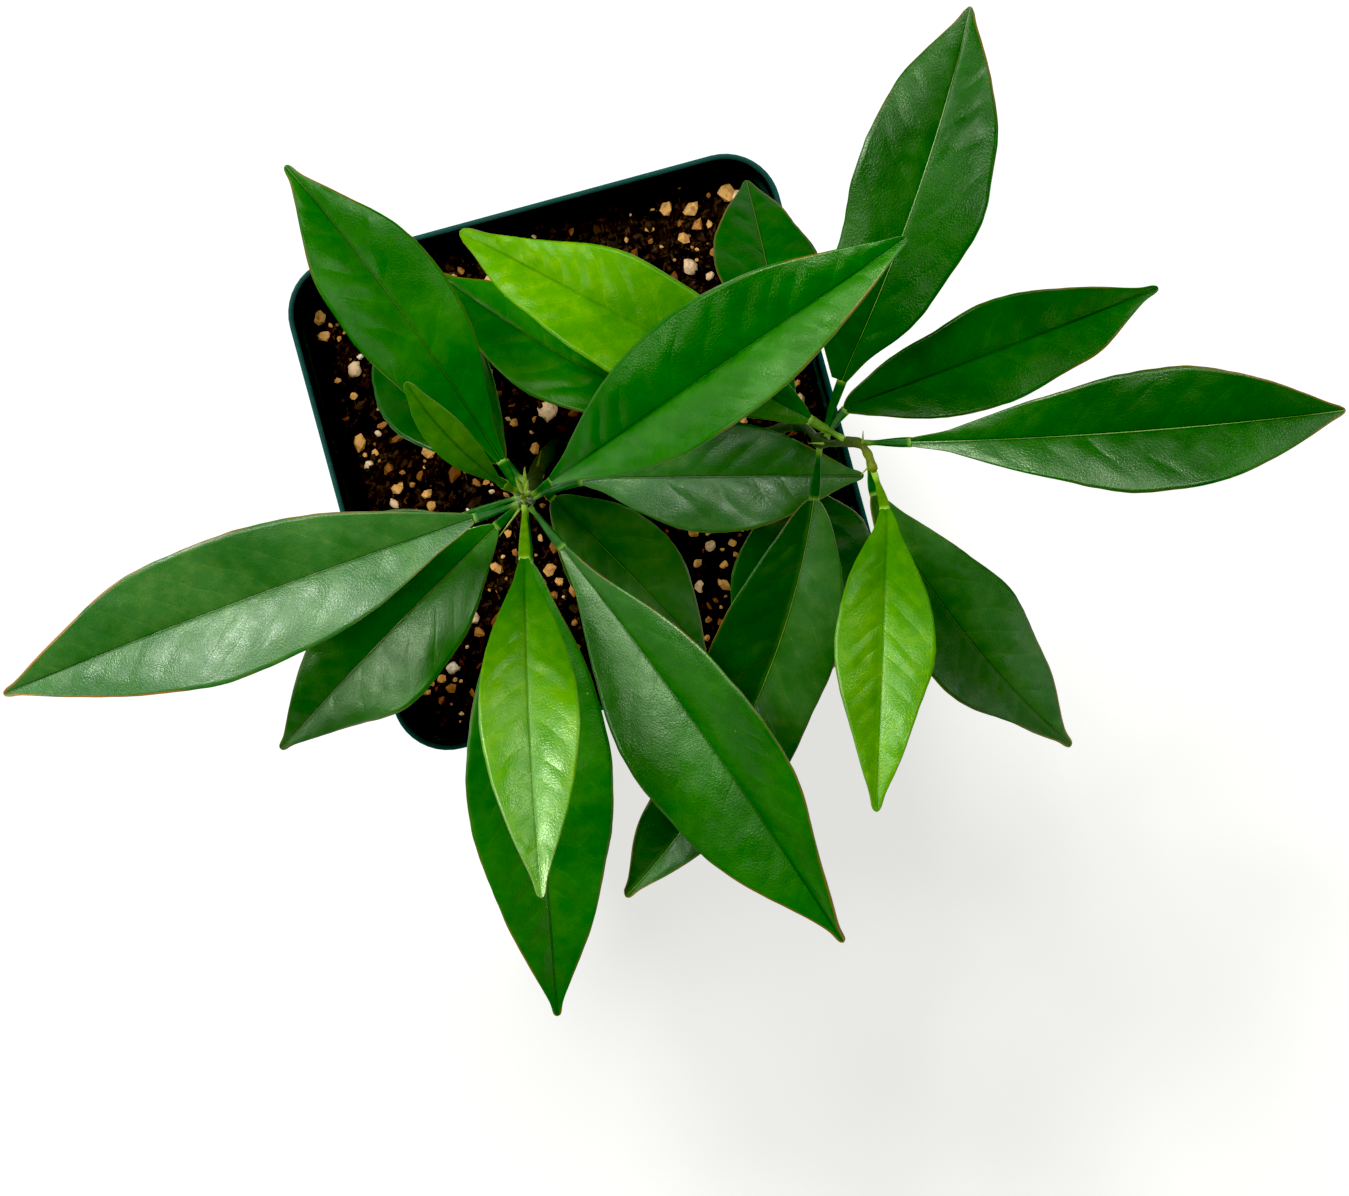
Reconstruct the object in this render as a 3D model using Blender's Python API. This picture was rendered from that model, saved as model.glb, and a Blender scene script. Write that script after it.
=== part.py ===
# Young potted kumquat tree: a forked stem with folded, pointed leaves in a square nursery pot.
# Metres, +Z up. The origin is the centre of the pot's flat underside, X and Y run along its sides.

import math
import random
from typing import NamedTuple

import bmesh
import bpy
from mathutils import Matrix, Vector

# Pot
POT_SIDE = 0.100
POT_BASE_SIDE = 0.074
POT_HEIGHT = 0.090
POT_CORNER = 0.0110
POT_BASE_CORNER = 0.0080
POT_WALL = 0.0012
POT_FLOOR = 0.0016
RIM_BAND = 0.0090
RIM_STEP = 0.0010
RIM_EDGE = 0.0004
FOOT_EDGE = 0.0008
DRAIN_RADIUS = 0.0040
DRAIN_OFFSET = 0.0240
DRAIN_SIDES = 16
CORNER_STEPS = 5

# Soil
SOIL_LEVEL = 0.0775
SOIL_MOUND = 0.0020
SOIL_MOUND_SPREAD = 0.0187
# Each swell of the surface: height, radians per metre along X and along Y, phase
SOIL_SWELLS = ((0.0004, 410, 370, 1.3), (0.0004, 720, -560, 0.0))
SOIL_RINGS = 8
SOIL_RING_CROWDING = 0.85
CHIP_COUNT = 52
CHIP_SIZE = (0.0032, 0.0062)
CHIP_WIDTH_SHARE = (0.30, 0.42)
CHIP_HEIGHT_SHARE = 0.30
CHIP_TILT = 17
CHIP_REACH = 0.0400
CHIP_SINK = 0.0004
CHIP_CLEAR_OF_STEM = 0.0080
CHIP_SEED = 7

# Stem
STEM_FOOT = 0.0660
STEM_SIDES_LEVEL = 3
STEM_STEPS = 4
ROUTE_STEPS = 24
MERGE_DISTANCE = 0.00001
STEM_HOLE_PLAY = 0.0012
THORN_RADIUS = 0.00045
THORN_SIDES = 5
THORN_SINK = 0.0008
BUD_RADIUS = 0.0008
BUD_SIDES = 6
SPIKE_TIP_SHARE = 0.2
GAP = 0.0003
LEAF_GAP = 0.0005

# Leaves
PETIOLE_RADIUS = 0.00075
JOINT_SWELL = 1.3
JOINT_LENGTH = 0.0012
STALK_TURN_START = 0.5
BLADE_THICKNESS = 0.00072
KEEL_DEPTH = 0.00030
TIP_HALF_WIDTH = 0.00030
BLADE_ARCH = 0.12
WAVE_HEIGHT = 0.045
WAVE_CYCLES = 2.4
WAVE_STEP = 1.9
WAVE_SIDE_PHASE = 1.2
JOINT_BLEND = 0.12
BLADE_STATIONS = (0, 0.03, 0.08, 0.15, 0.23, 0.31, 0.40, 0.49, 0.58, 0.67, 0.76, 0.85, 0.92, 0.97, 1)
PETIOLE_STATIONS = (0, 0.5, 0.88)
ACROSS = (-1.0, -0.5, 0.0, 0.5, 1.0)
PATH_STEPS = 80

SHARP_ANGLE = 40


class Shoot(NamedTuple):
    """A stem's route from its foot to its top, and its radius at each point."""

    points: tuple
    radii: tuple


class Leaf(NamedTuple):
    """A leaf by what a ruler and a protractor would read; angles are in degrees, lengths in metres."""

    name: str
    shoot: Shoot
    height: float  # of its node on the shoot
    bearing: float  # heading of the leaf at half its length, from +X towards +Y
    swing: float  # how far the heading turns from base to tip
    rise: tuple  # slope at the base and at the tip
    length: float  # stalk and blade together, along the midrib
    petiole: float  # the stalk's part of it
    width: float
    widest: float  # where the blade is widest, from 0 at its base to 1 at its tip
    taper: float  # above 1 narrows both ends, below 1 fills them
    fold: float  # how far each half is raised from flat
    roll: float  # the whole blade's turn about its midrib, right side up
    shade: str = "dark"
    turn: float = 0.0  # how far the stalk points away from the blade


MAIN = Shoot(
    points=((0, 0, STEM_FOOT), (0, 0, 0.080), (-0.0040, 0.0020, 0.099), (-0.0083, -0.0013, 0.118),
            (-0.0108, -0.0061, 0.134), (-0.0116, -0.0084, 0.148), (-0.0114, -0.0093, 0.160),
            (-0.0108, -0.0091, 0.1745)),
    radii=(0.0026, 0.0025, 0.0021, 0.0017, 0.0015, 0.0013, 0.0011, 0.0009))
SIDE = Shoot(
    points=((-0.0055, 0.0011, 0.103), (0.0107, -0.0020, 0.117), (0.0274, -0.0074, 0.134),
            (0.0357, -0.0083, 0.148), (0.0386, -0.0096, 0.160), (0.0406, -0.0135, 0.1705),
            (0.0454, -0.0151, 0.178), (0.0464, -0.0178, 0.183), (0.0463, -0.0203, 0.1875)),
    radii=(0.0013, 0.0015, 0.0014, 0.0012, 0.0011, 0.0011, 0.0010, 0.0009, 0.0009))

LEAVES = (
    Leaf("leaf_main_01", MAIN, height=0.129, bearing=-61, swing=-5, rise=(-19, -37), length=0.049,
         petiole=0.0045, width=0.0210, widest=0.42, taper=1.00, fold=18, roll=5),
    Leaf("leaf_main_02", MAIN, height=0.134, bearing=114, swing=-13, rise=(-19, -47), length=0.0485,
         petiole=0.0052, width=0.0255, widest=0.49, taper=0.92, fold=23, roll=1),
    Leaf("leaf_main_03", MAIN, height=0.140, bearing=-170, swing=15, rise=(-9, -34), length=0.0435,
         petiole=0.0110, width=0.0160, widest=0.50, taper=1.05, fold=20, roll=0),
    Leaf("leaf_main_04", MAIN, height=0.146, bearing=-151, swing=3, rise=(-16, -34), length=0.0715,
         petiole=0.0060, width=0.0240, widest=0.44, taper=1.07, fold=19, roll=2),
    Leaf("leaf_main_05", MAIN, height=0.150, bearing=-102.5, swing=1, rise=(-7, -28.5), length=0.099,
         petiole=0.0095, width=0.0275, widest=0.45, taper=1.04, fold=19, roll=3.5),
    Leaf("leaf_main_06", MAIN, height=0.152, bearing=-14.5, swing=0, rise=(10, -13.5), length=0.059,
         petiole=0.0100, width=0.0200, widest=0.48, taper=1.08, fold=20, roll=-2, turn=20),
    Leaf("leaf_main_07", MAIN, height=0.157, bearing=-175, swing=3, rise=(10, -16), length=0.0975,
         petiole=0.0080, width=0.0270, widest=0.48, taper=1.00, fold=20, roll=3),
    Leaf("leaf_main_08", MAIN, height=0.160, bearing=-69.5, swing=-7, rise=(8, -15.5), length=0.0945,
         petiole=0.0090, width=0.0300, widest=0.50, taper=1.17, fold=28, roll=-16),
    Leaf("leaf_main_09", MAIN, height=0.164, bearing=110.5, swing=11, rise=(13, -10), length=0.0695,
         petiole=0.0095, width=0.0210, widest=0.51, taper=1.10, fold=20, roll=0, shade="mid"),
    Leaf("leaf_main_10", MAIN, height=0.167, bearing=17, swing=3, rise=(53, 15), length=0.0875,
         petiole=0.0103, width=0.0240, widest=0.53, taper=0.95, fold=29, roll=16, shade="mid"),
    Leaf("leaf_main_11", MAIN, height=0.1715, bearing=-101.5, swing=4, rise=(36, 19), length=0.0715,
         petiole=0.0110, width=0.0175, widest=0.50, taper=1.05, fold=21, roll=0, shade="young"),
    Leaf("leaf_main_12", MAIN, height=0.173, bearing=120, swing=-27, rise=(63, 38), length=0.0365,
         petiole=0.0100, width=0.0095, widest=0.49, taper=1.07, fold=22, roll=1, shade="young"),
    Leaf("leaf_side_01", SIDE, height=0.141, bearing=137.5, swing=-25, rise=(7, -16), length=0.0645,
         petiole=0.0115, width=0.0205, widest=0.51, taper=1.09, fold=21, roll=-1),
    Leaf("leaf_side_02", SIDE, height=0.147, bearing=-98, swing=3, rise=(-33, -51), length=0.065,
         petiole=0.0090, width=0.0260, widest=0.46, taper=1.02, fold=15, roll=-1),
    Leaf("leaf_side_03", SIDE, height=0.156, bearing=85, swing=3, rise=(-22, -44), length=0.0553,
         petiole=0.0105, width=0.0198, widest=0.49, taper=1.06, fold=20, roll=-4),
    Leaf("leaf_side_04", SIDE, height=0.169, bearing=-127.5, swing=-39, rise=(-27, -27), length=0.0997,
         petiole=0.0093, width=0.0245, widest=0.41, taper=1.00, fold=20, roll=12),
    Leaf("leaf_side_05", SIDE, height=0.171, bearing=56, swing=14, rise=(17, -9.5), length=0.0765,
         petiole=0.0098, width=0.0245, widest=0.52, taper=1.00, fold=20, roll=2, turn=8),
    Leaf("leaf_side_06", SIDE, height=0.174, bearing=8.5, swing=3, rise=(-6, -16), length=0.0625,
         petiole=0.0057, width=0.0185, widest=0.43, taper=1.04, fold=19, roll=-4, turn=40),
    Leaf("leaf_side_07", SIDE, height=0.1785, bearing=-11.5, swing=8, rise=(18, -10), length=0.080,
         petiole=0.0111, width=0.0223, widest=0.52, taper=0.97, fold=21, roll=0),
    Leaf("leaf_side_08", SIDE, height=0.1765, bearing=136, swing=0, rise=(6, -16.5), length=0.0745,
         petiole=0.0064, width=0.0210, widest=0.46, taper=0.97, fold=21, roll=-5, shade="young"),
    Leaf("leaf_side_09", SIDE, height=0.183, bearing=-68, swing=23, rise=(-19, -34), length=0.0695,
         petiole=0.0093, width=0.0200, widest=0.46, taper=1.10, fold=19, roll=-6),
    Leaf("leaf_side_10", SIDE, height=0.187, bearing=-105.5, swing=-3, rise=(31, -3.5), length=0.0565,
         petiole=0.0104, width=0.0175, widest=0.48, taper=1.07, fold=21, roll=0, shade="young"),
)

# Thorns: shoot, height of the node, bearing, rise, length
THORNS = (
    (MAIN, 0.125, 60, 25, 0.0040), (MAIN, 0.1540, -138, 10, 0.0045), (MAIN, 0.1565, -25, 5, 0.0035),
    (SIDE, 0.124, -70, 35, 0.0040), (SIDE, 0.1715, 165, 10, 0.0028), (SIDE, 0.1800, 75, 30, 0.0025),
    (SIDE, 0.186, -150, 10, 0.0022),
)
# Buds at the top of the main shoot: bearing, rise, length
BUDS = ((75, 40, 0.0034), (-110, 55, 0.0030), (190, 75, 0.0036))

LEAF_COLOURS = {"dark": (0.010, 0.085, 0.012), "mid": (0.020, 0.130, 0.012), "young": (0.120, 0.330, 0.008)}
LEAF_ROUGHNESS = 0.35
POT_COLOUR = (0.004, 0.022, 0.018)
POT_ROUGHNESS = 0.45
SOIL_COLOUR = (0.030, 0.020, 0.014)
SOIL_ROUGHNESS = 0.95
STEM_COLOUR = (0.130, 0.190, 0.040)
STEM_ROUGHNESS = 0.60


def clear_scene():
    for old in list(bpy.data.objects):
        bpy.data.objects.remove(old)


def make_material(name, colour, roughness):
    material = bpy.data.materials.new(name)
    material.use_nodes = True
    shader = material.node_tree.nodes["Principled BSDF"]
    shader.inputs["Base Color"].default_value = (*colour, 1)
    shader.inputs["Roughness"].default_value = roughness
    shader.inputs["Metallic"].default_value = 0
    return material


def add_object(name, mesh, material=None):
    thing = bpy.data.objects.new(name, mesh)
    bpy.context.scene.collection.objects.link(thing)
    if material:
        mesh.materials.append(material)
    return thing


def mesh_from(name, bm):
    bmesh.ops.recalc_face_normals(bm, faces=bm.faces)
    mesh = bpy.data.meshes.new(name)
    bm.to_mesh(mesh)
    bm.free()
    mesh.shade_smooth()
    mesh.set_sharp_from_angle(angle=math.radians(SHARP_ANGLE))
    return mesh


def apply_boolean(target, operation, solver, helpers):
    """Cuts or joins the target with a collection of objects, then removes them."""
    step = target.modifiers.new("join", "BOOLEAN")
    step.operation = operation
    step.solver = solver
    step.operand_type = "COLLECTION"
    step.collection = helpers
    bpy.context.view_layer.update()
    shaped = bpy.data.meshes.new_from_object(target.evaluated_get(bpy.context.evaluated_depsgraph_get()))
    target.modifiers.clear()
    target.data = shaped
    for used in list(helpers.objects):
        bpy.data.objects.remove(used)
    bpy.data.collections.remove(helpers)


def direction(bearing, rise):
    flat = math.cos(math.radians(rise))
    return Vector((flat * math.cos(math.radians(bearing)), flat * math.sin(math.radians(bearing)),
                   math.sin(math.radians(rise))))


def smooth_step(value):
    value = min(max(value, 0.0), 1.0)
    return value * value * (3 - 2 * value)


# Pot and soil share one outline, a square with round corners.
def square_ring(side, corner, height):
    ring = []
    reach = side / 2 - corner
    for quarter in range(4):
        middle = Matrix.Rotation(math.radians(90 * quarter), 3, "Z") @ Vector((reach, reach, 0))
        for step in range(CORNER_STEPS):
            angle = math.radians(90 * quarter + 90 * step / (CORNER_STEPS - 1))
            ring.append(middle + Vector((corner * math.cos(angle), corner * math.sin(angle), height)))
    return ring


def wall_side(height):
    """The pot's outer side at a height, below its rim band."""
    share = height / (POT_HEIGHT - RIM_BAND)
    return POT_BASE_SIDE + (POT_SIDE - 2 * RIM_STEP - POT_BASE_SIDE) * share


def corner_at(height):
    return POT_BASE_CORNER + (POT_CORNER - POT_BASE_CORNER) * height / POT_HEIGHT


def loft(bm, rings):
    """Joins rings of equal length, one above the next, and closes the first and last with a face."""
    made = [[bm.verts.new(point) for point in ring] for ring in rings]
    for lower, upper in zip(made, made[1:]):
        for first in range(len(lower)):
            second = (first + 1) % len(lower)
            bm.faces.new((lower[first], lower[second], upper[second], upper[first]))
    bm.faces.new(made[0][::-1])
    bm.faces.new(made[-1])


def make_pot():
    band = POT_HEIGHT - RIM_BAND
    inner_top = POT_SIDE - 2 * POT_WALL
    inner_band = wall_side(band) - 2 * POT_WALL
    inner_floor = wall_side(POT_FLOOR) - 2 * POT_WALL
    levels = (
        (POT_BASE_SIDE - 2 * FOOT_EDGE, 0),
        (POT_BASE_SIDE, FOOT_EDGE),
        (wall_side(band), band),
        (POT_SIDE - RIM_EDGE, band + RIM_EDGE),
        (POT_SIDE, band + 3 * RIM_EDGE),
        (POT_SIDE, POT_HEIGHT - RIM_EDGE),
        (POT_SIDE - 2 * RIM_EDGE, POT_HEIGHT),
        (inner_top + 1.5 * RIM_EDGE, POT_HEIGHT),
        (inner_top, POT_HEIGHT - RIM_EDGE),
        (inner_top, band + 4 * RIM_EDGE),
        (inner_band, band - RIM_EDGE / 2),
        (inner_floor, POT_FLOOR),
    )
    bm = bmesh.new()
    loft(bm, [square_ring(side, corner_at(height), height) for side, height in levels])
    pot = add_object("pot", mesh_from("pot", bm), make_material("pot_plastic", POT_COLOUR, POT_ROUGHNESS))
    drills = bpy.data.collections.new("drain_holes")
    for across in (-1, 1):
        for along in (-1, 1):
            bm = bmesh.new()
            bmesh.ops.create_cone(
                bm, cap_ends=True, segments=DRAIN_SIDES, radius1=DRAIN_RADIUS, radius2=DRAIN_RADIUS,
                depth=4 * POT_FLOOR,
                matrix=Matrix.Translation((across * DRAIN_OFFSET, along * DRAIN_OFFSET, POT_FLOOR / 2)))
            drill = bpy.data.objects.new("drill", mesh_from("drill", bm))
            drills.objects.link(drill)
    apply_boolean(pot, "DIFFERENCE", "EXACT", drills)


def soil_height(x, y):
    """The soil's uneven surface, a little higher round the stem."""
    mound = SOIL_MOUND * math.exp(-(x * x + y * y) / SOIL_MOUND_SPREAD ** 2)
    swell = sum(height * math.sin(per_x * x + per_y * y + phase)
                for height, per_x, per_y, phase in SOIL_SWELLS)
    return SOIL_LEVEL + mound + swell


def make_soil():
    side_low = wall_side(POT_FLOOR) - 2 * POT_WALL - 2 * GAP
    side_top = wall_side(SOIL_LEVEL) - 2 * POT_WALL - 2 * GAP
    rings = [square_ring(side_low, corner_at(POT_FLOOR), POT_FLOOR + GAP)]
    hole = MAIN.radii[0] + STEM_HOLE_PLAY
    rim = square_ring(side_top, corner_at(SOIL_LEVEL), 0)
    for ring in range(SOIL_RINGS):
        share = ring / (SOIL_RINGS - 1)
        level = []
        for point in rim:
            spot = point.lerp(point.normalized() * hole, share ** SOIL_RING_CROWDING)
            level.append(Vector((spot.x, spot.y, soil_height(spot.x, spot.y))))
        rings.append(level)
    rings.append([Vector((p.x, p.y, STEM_FOOT - GAP)) for p in rings[-1]])
    bm = bmesh.new()
    loft(bm, rings)
    mix = make_material("potting_mix", SOIL_COLOUR, SOIL_ROUGHNESS)
    soil = add_object("soil", mesh_from("soil", bm), mix)
    add_chips(soil)


def add_chips(soil):
    """Bark and grit, half sunk in the soil's surface."""
    draw = random.Random(CHIP_SEED)
    chips = bpy.data.collections.new("chips")
    while len(chips.objects) < CHIP_COUNT:
        x, y = draw.uniform(-CHIP_REACH, CHIP_REACH), draw.uniform(-CHIP_REACH, CHIP_REACH)
        if math.hypot(x, y) < CHIP_CLEAR_OF_STEM:
            continue
        size = draw.uniform(*CHIP_SIZE)
        tilt = math.radians(draw.uniform(-CHIP_TILT, CHIP_TILT))
        turn = Matrix.Rotation(draw.uniform(0, math.tau), 4, "Z") @ Matrix.Rotation(tilt, 4, "X")
        width = size * draw.uniform(*CHIP_WIDTH_SHARE)
        shape = Matrix.Diagonal((size / 2, width, size * CHIP_HEIGHT_SHARE, 1))
        bm = bmesh.new()
        bmesh.ops.create_icosphere(
            bm, subdivisions=1, radius=1,
            matrix=Matrix.Translation((x, y, soil_height(x, y) - CHIP_SINK)) @ turn @ shape)
        chips.objects.link(bpy.data.objects.new("chip", mesh_from("chip", bm)))
    apply_boolean(soil, "UNION", "MANIFOLD", chips)


# Shoots
def smooth_route(values, steps):
    """Catmull-Rom curve through the values, which may be points or radii."""
    ends = [2 * values[0] - values[1], *values, 2 * values[-1] - values[-2]]
    route = []
    for a, b, c, d in zip(ends, ends[1:], ends[2:], ends[3:]):
        for step in range(steps):
            t = step / steps
            route.append(0.5 * (2 * b + (c - a) * t + (2 * a - 5 * b + 4 * c - d) * t * t
                                + (3 * b - a - 3 * c + d) * t * t * t))
    route.append(values[-1])
    return route


def shoot_route(shoot, steps):
    points = [Vector(point) for point in shoot.points]
    return smooth_route(points, steps), smooth_route(shoot.radii, steps)


def shoot_at(shoot, height):
    """Centre, radius and heading of a shoot at a height."""
    points, radii = shoot_route(shoot, ROUTE_STEPS)
    nearest = min(range(1, len(points)), key=lambda place: abs(points[place].z - height))
    return points[nearest], radii[nearest], (points[nearest] - points[nearest - 1]).normalized()


def beside(shoot, height, bearing, clear):
    """A point level with the shoot's centre that is this far off its surface, slanted as the shoot may be."""
    centre, radius, along = shoot_at(shoot, height)
    out = direction(bearing, 0)
    return centre + out * (radius + clear) / math.sqrt(1 - along.dot(out) ** 2)


def tube_mesh(name, shoot):
    points, radii = shoot_route(shoot, STEM_STEPS)
    curve = bpy.data.curves.new(name, "CURVE")
    curve.dimensions = "3D"
    curve.bevel_depth = 1.0
    curve.bevel_resolution = STEM_SIDES_LEVEL
    curve.use_fill_caps = True
    line = curve.splines.new("POLY")
    line.points.add(len(points) - 1)
    for spot, point, radius in zip(line.points, points, radii):
        spot.co = (*point, 1)
        spot.radius = radius
    guide = add_object(name, curve)
    bpy.context.view_layer.update()
    mesh = bpy.data.meshes.new_from_object(guide.evaluated_get(bpy.context.evaluated_depsgraph_get()))
    bpy.data.objects.remove(guide)
    bm = bmesh.new()
    bm.from_mesh(mesh)
    bmesh.ops.remove_doubles(bm, verts=bm.verts, dist=MERGE_DISTANCE)
    return mesh_from(name, bm)


def spike(name, foot, heading, radius, length, sides):
    """A slim cone that stands on its foot point along its heading."""
    bm = bmesh.new()
    turn = heading.to_track_quat("Z", "Y").to_matrix().to_4x4()
    middle = Matrix.Translation(foot + heading * length / 2)
    bmesh.ops.create_cone(bm, cap_ends=True, segments=sides, radius1=radius,
                          radius2=radius * SPIKE_TIP_SHARE, depth=length, matrix=middle @ turn)
    return bpy.data.objects.new(name, mesh_from(name, bm))


def make_stem():
    bark = make_material("stem_bark", STEM_COLOUR, STEM_ROUGHNESS)
    stem = add_object("stem", tube_mesh("stem", MAIN), bark)
    extras = bpy.data.collections.new("stem_pieces")
    extras.objects.link(bpy.data.objects.new("side_shoot", tube_mesh("side_shoot", SIDE)))
    for shoot, height, bearing, rise, length in THORNS:
        foot = beside(shoot, height, bearing, -THORN_SINK)
        extras.objects.link(spike("thorn", foot, direction(bearing, rise), THORN_RADIUS,
                                  length + THORN_SINK, THORN_SIDES))
    top = Vector(MAIN.points[-1]) - Vector((0, 0, BUD_RADIUS))
    for bearing, rise, length in BUDS:
        extras.objects.link(spike("bud", top, direction(bearing, rise), BUD_RADIUS, length, BUD_SIDES))
    apply_boolean(stem, "UNION", "MANIFOLD", extras)


# Leaves
def midrib(leaf):
    """Points along the stalk and midrib, each with the blade's side and up directions there."""
    clear = LEAF_GAP + PETIOLE_RADIUS * abs(math.sin(math.radians(leaf.rise[0])))
    point = beside(leaf.shoot, leaf.height, leaf.bearing - leaf.swing / 2 + leaf.turn, clear)
    step = leaf.length / PATH_STEPS
    route = []
    for place in range(PATH_STEPS + 1):
        share = place / PATH_STEPS
        past_turn = share * leaf.length / leaf.petiole - STALK_TURN_START
        stalk = min(max(1 - past_turn, 0), 1)
        bearing = leaf.bearing + leaf.swing * (share - 0.5) + leaf.turn * stalk
        heading = direction(bearing, leaf.rise[0] + (leaf.rise[1] - leaf.rise[0]) * share)
        side = Vector((math.sin(math.radians(bearing)), -math.cos(math.radians(bearing)), 0))
        up = side.cross(heading)
        roll = math.radians(leaf.roll) * smooth_step(past_turn)
        route.append((point, side * math.cos(roll) + up * math.sin(roll),
                      up * math.cos(roll) - side * math.sin(roll)))
        point = point + heading * step
    return route


def half_width(leaf, along):
    """Half the blade's width at a place along it, from 0 at its base to 1 at its tip."""
    skew = math.log(0.5) / math.log(leaf.widest)
    return leaf.width / 2 * max(math.sin(math.pi * along ** skew), 0) ** leaf.taper


def blade_lift(leaf, index, across, along, half):
    """Height of the blade over its midrib: raised halves, each arched, with a waved margin."""
    raised = math.sin(math.radians(leaf.fold)) * abs(across) - BLADE_ARCH * across * across
    phase = WAVE_STEP * index + (WAVE_SIDE_PHASE if across > 0 else 0)
    wave = WAVE_HEIGHT * across * across * math.sin(math.tau * WAVE_CYCLES * along + phase)
    return half * (raised + wave)


def leaf_ring(leaf, index, route, distance):
    """One closed ring round the leaf: a round stalk that flattens into a folded blade."""
    point, side, up = route[round(distance / leaf.length * PATH_STEPS)]
    along = min(max((distance - leaf.petiole) / (leaf.length - leaf.petiole), 0), 1)
    flat = smooth_step(along / JOINT_BLEND)
    half = max(half_width(leaf, along), TIP_HALF_WIDTH)
    swell = 1 + (JOINT_SWELL - 1) * max(0, 1 - abs(distance - leaf.petiole) / JOINT_LENGTH)
    radius = PETIOLE_RADIUS * swell
    spread = math.cos(math.radians(leaf.fold))
    arc = math.pi / len(ACROSS)
    ring = []
    for face in (1, -1):
        for place, across in enumerate(ACROSS):
            angle = math.pi - arc * (place + 0.5)
            keel = KEEL_DEPTH if face < 0 and across == 0 else 0
            lift = blade_lift(leaf, index, across, along, half) + face * BLADE_THICKNESS / 2 - keel
            x = radius * math.cos(angle) * (1 - flat) + across * half * spread * flat
            z = face * radius * math.sin(angle) * (1 - flat) + lift * flat
            ring.append(point + side * x + up * z)
    top, under = ring[:len(ACROSS)], ring[len(ACROSS):]
    return top + under[::-1]


def make_leaf(leaf, index, material):
    route = midrib(leaf)
    blade = leaf.length - leaf.petiole
    stations = [share * leaf.petiole for share in PETIOLE_STATIONS]
    stations += [leaf.petiole + share * blade for share in BLADE_STATIONS]
    bm = bmesh.new()
    rings = [[bm.verts.new(p) for p in leaf_ring(leaf, index, route, distance)] for distance in stations]
    count = len(rings[0])
    upper = len(ACROSS) - 1
    for near, far in zip(rings, rings[1:]):
        for first in range(count):
            second = (first + 1) % count
            # The same diagonal on both faces, so that a waved blade keeps its thickness.
            if first < upper:
                bm.faces.new((near[first], near[second], far[second]))
                bm.faces.new((near[first], far[second], far[first]))
            else:
                bm.faces.new((near[second], far[first], near[first]))
                bm.faces.new((near[second], far[second], far[first]))
    bm.faces.new(rings[0][::-1])
    bm.faces.new(rings[-1])
    add_object(leaf.name, mesh_from(leaf.name, bm), material)


def make_leaves():
    shades = {shade: make_material("leaf_" + shade, colour, LEAF_ROUGHNESS)
              for shade, colour in LEAF_COLOURS.items()}
    for index, leaf in enumerate(LEAVES):
        make_leaf(leaf, index, shades[leaf.shade])


clear_scene()
make_pot()
make_soil()
make_stem()
make_leaves()
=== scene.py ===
# A young potted kumquat tree seen from above: fine leaves, stem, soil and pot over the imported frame.
# Metres, +Z up, origin at the centre of the pot's underside.

import math
import random

import bpy
from mathutils import Euler, Matrix, Vector, noise


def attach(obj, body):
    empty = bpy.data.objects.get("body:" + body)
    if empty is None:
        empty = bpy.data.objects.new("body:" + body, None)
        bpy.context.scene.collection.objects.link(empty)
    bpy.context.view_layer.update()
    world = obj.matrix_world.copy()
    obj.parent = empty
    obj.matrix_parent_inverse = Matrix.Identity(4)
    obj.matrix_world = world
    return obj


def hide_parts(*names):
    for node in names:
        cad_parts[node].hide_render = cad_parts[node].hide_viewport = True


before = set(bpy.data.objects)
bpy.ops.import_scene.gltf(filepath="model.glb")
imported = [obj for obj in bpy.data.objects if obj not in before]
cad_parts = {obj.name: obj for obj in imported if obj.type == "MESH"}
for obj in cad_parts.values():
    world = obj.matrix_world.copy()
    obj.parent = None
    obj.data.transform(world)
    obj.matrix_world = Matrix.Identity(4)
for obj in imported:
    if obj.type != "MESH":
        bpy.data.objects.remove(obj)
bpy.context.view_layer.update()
print("frame loaded:", len(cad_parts), "nodes")


# Shared ways of modelling
def selectOnly(*things):
    bpy.ops.object.select_all(action="DESELECT")
    for thing in things:
        thing.select_set(True)
    if things:
        bpy.context.view_layer.objects.active = things[0]


def applyModifier(piece, kind, **settings):
    selectOnly(piece)
    modifier = piece.modifiers.new(kind.lower(), kind)
    for setting, value in settings.items():
        setattr(modifier, setting, value)
    bpy.ops.object.modifier_apply(modifier=modifier.name)


def pick(piece, kind, test):
    # leaves the piece in edit mode with just the matching corners, edges or faces selected
    selectOnly(piece)
    bpy.ops.object.mode_set(mode="EDIT")
    bpy.ops.mesh.select_mode(type=kind)
    bpy.ops.mesh.select_all(action="DESELECT")
    bpy.ops.object.mode_set(mode="OBJECT")
    parts = {"VERT": piece.data.vertices, "EDGE": piece.data.edges, "FACE": piece.data.polygons}[kind]
    for part in parts:
        part.select = test(part)
    bpy.ops.object.mode_set(mode="EDIT")


def done():
    bpy.ops.object.mode_set(mode="OBJECT")


def mergeCorners(piece, near=1e-7):
    pick(piece, "VERT", lambda corner: True)
    bpy.ops.mesh.remove_doubles(threshold=near)
    done()


def shapedGrid(name, columns, rows, placeAt):
    # placeAt turns the shares across and along, both 0 to 1, into a point
    selectOnly()
    bpy.ops.mesh.primitive_grid_add(x_subdivisions=columns, y_subdivisions=rows, size=2)
    piece = bpy.context.object
    piece.name = name
    for corner in piece.data.vertices:
        corner.co = placeAt((corner.co.x + 1) / 2, (corner.co.y + 1) / 2)
    return piece


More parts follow.
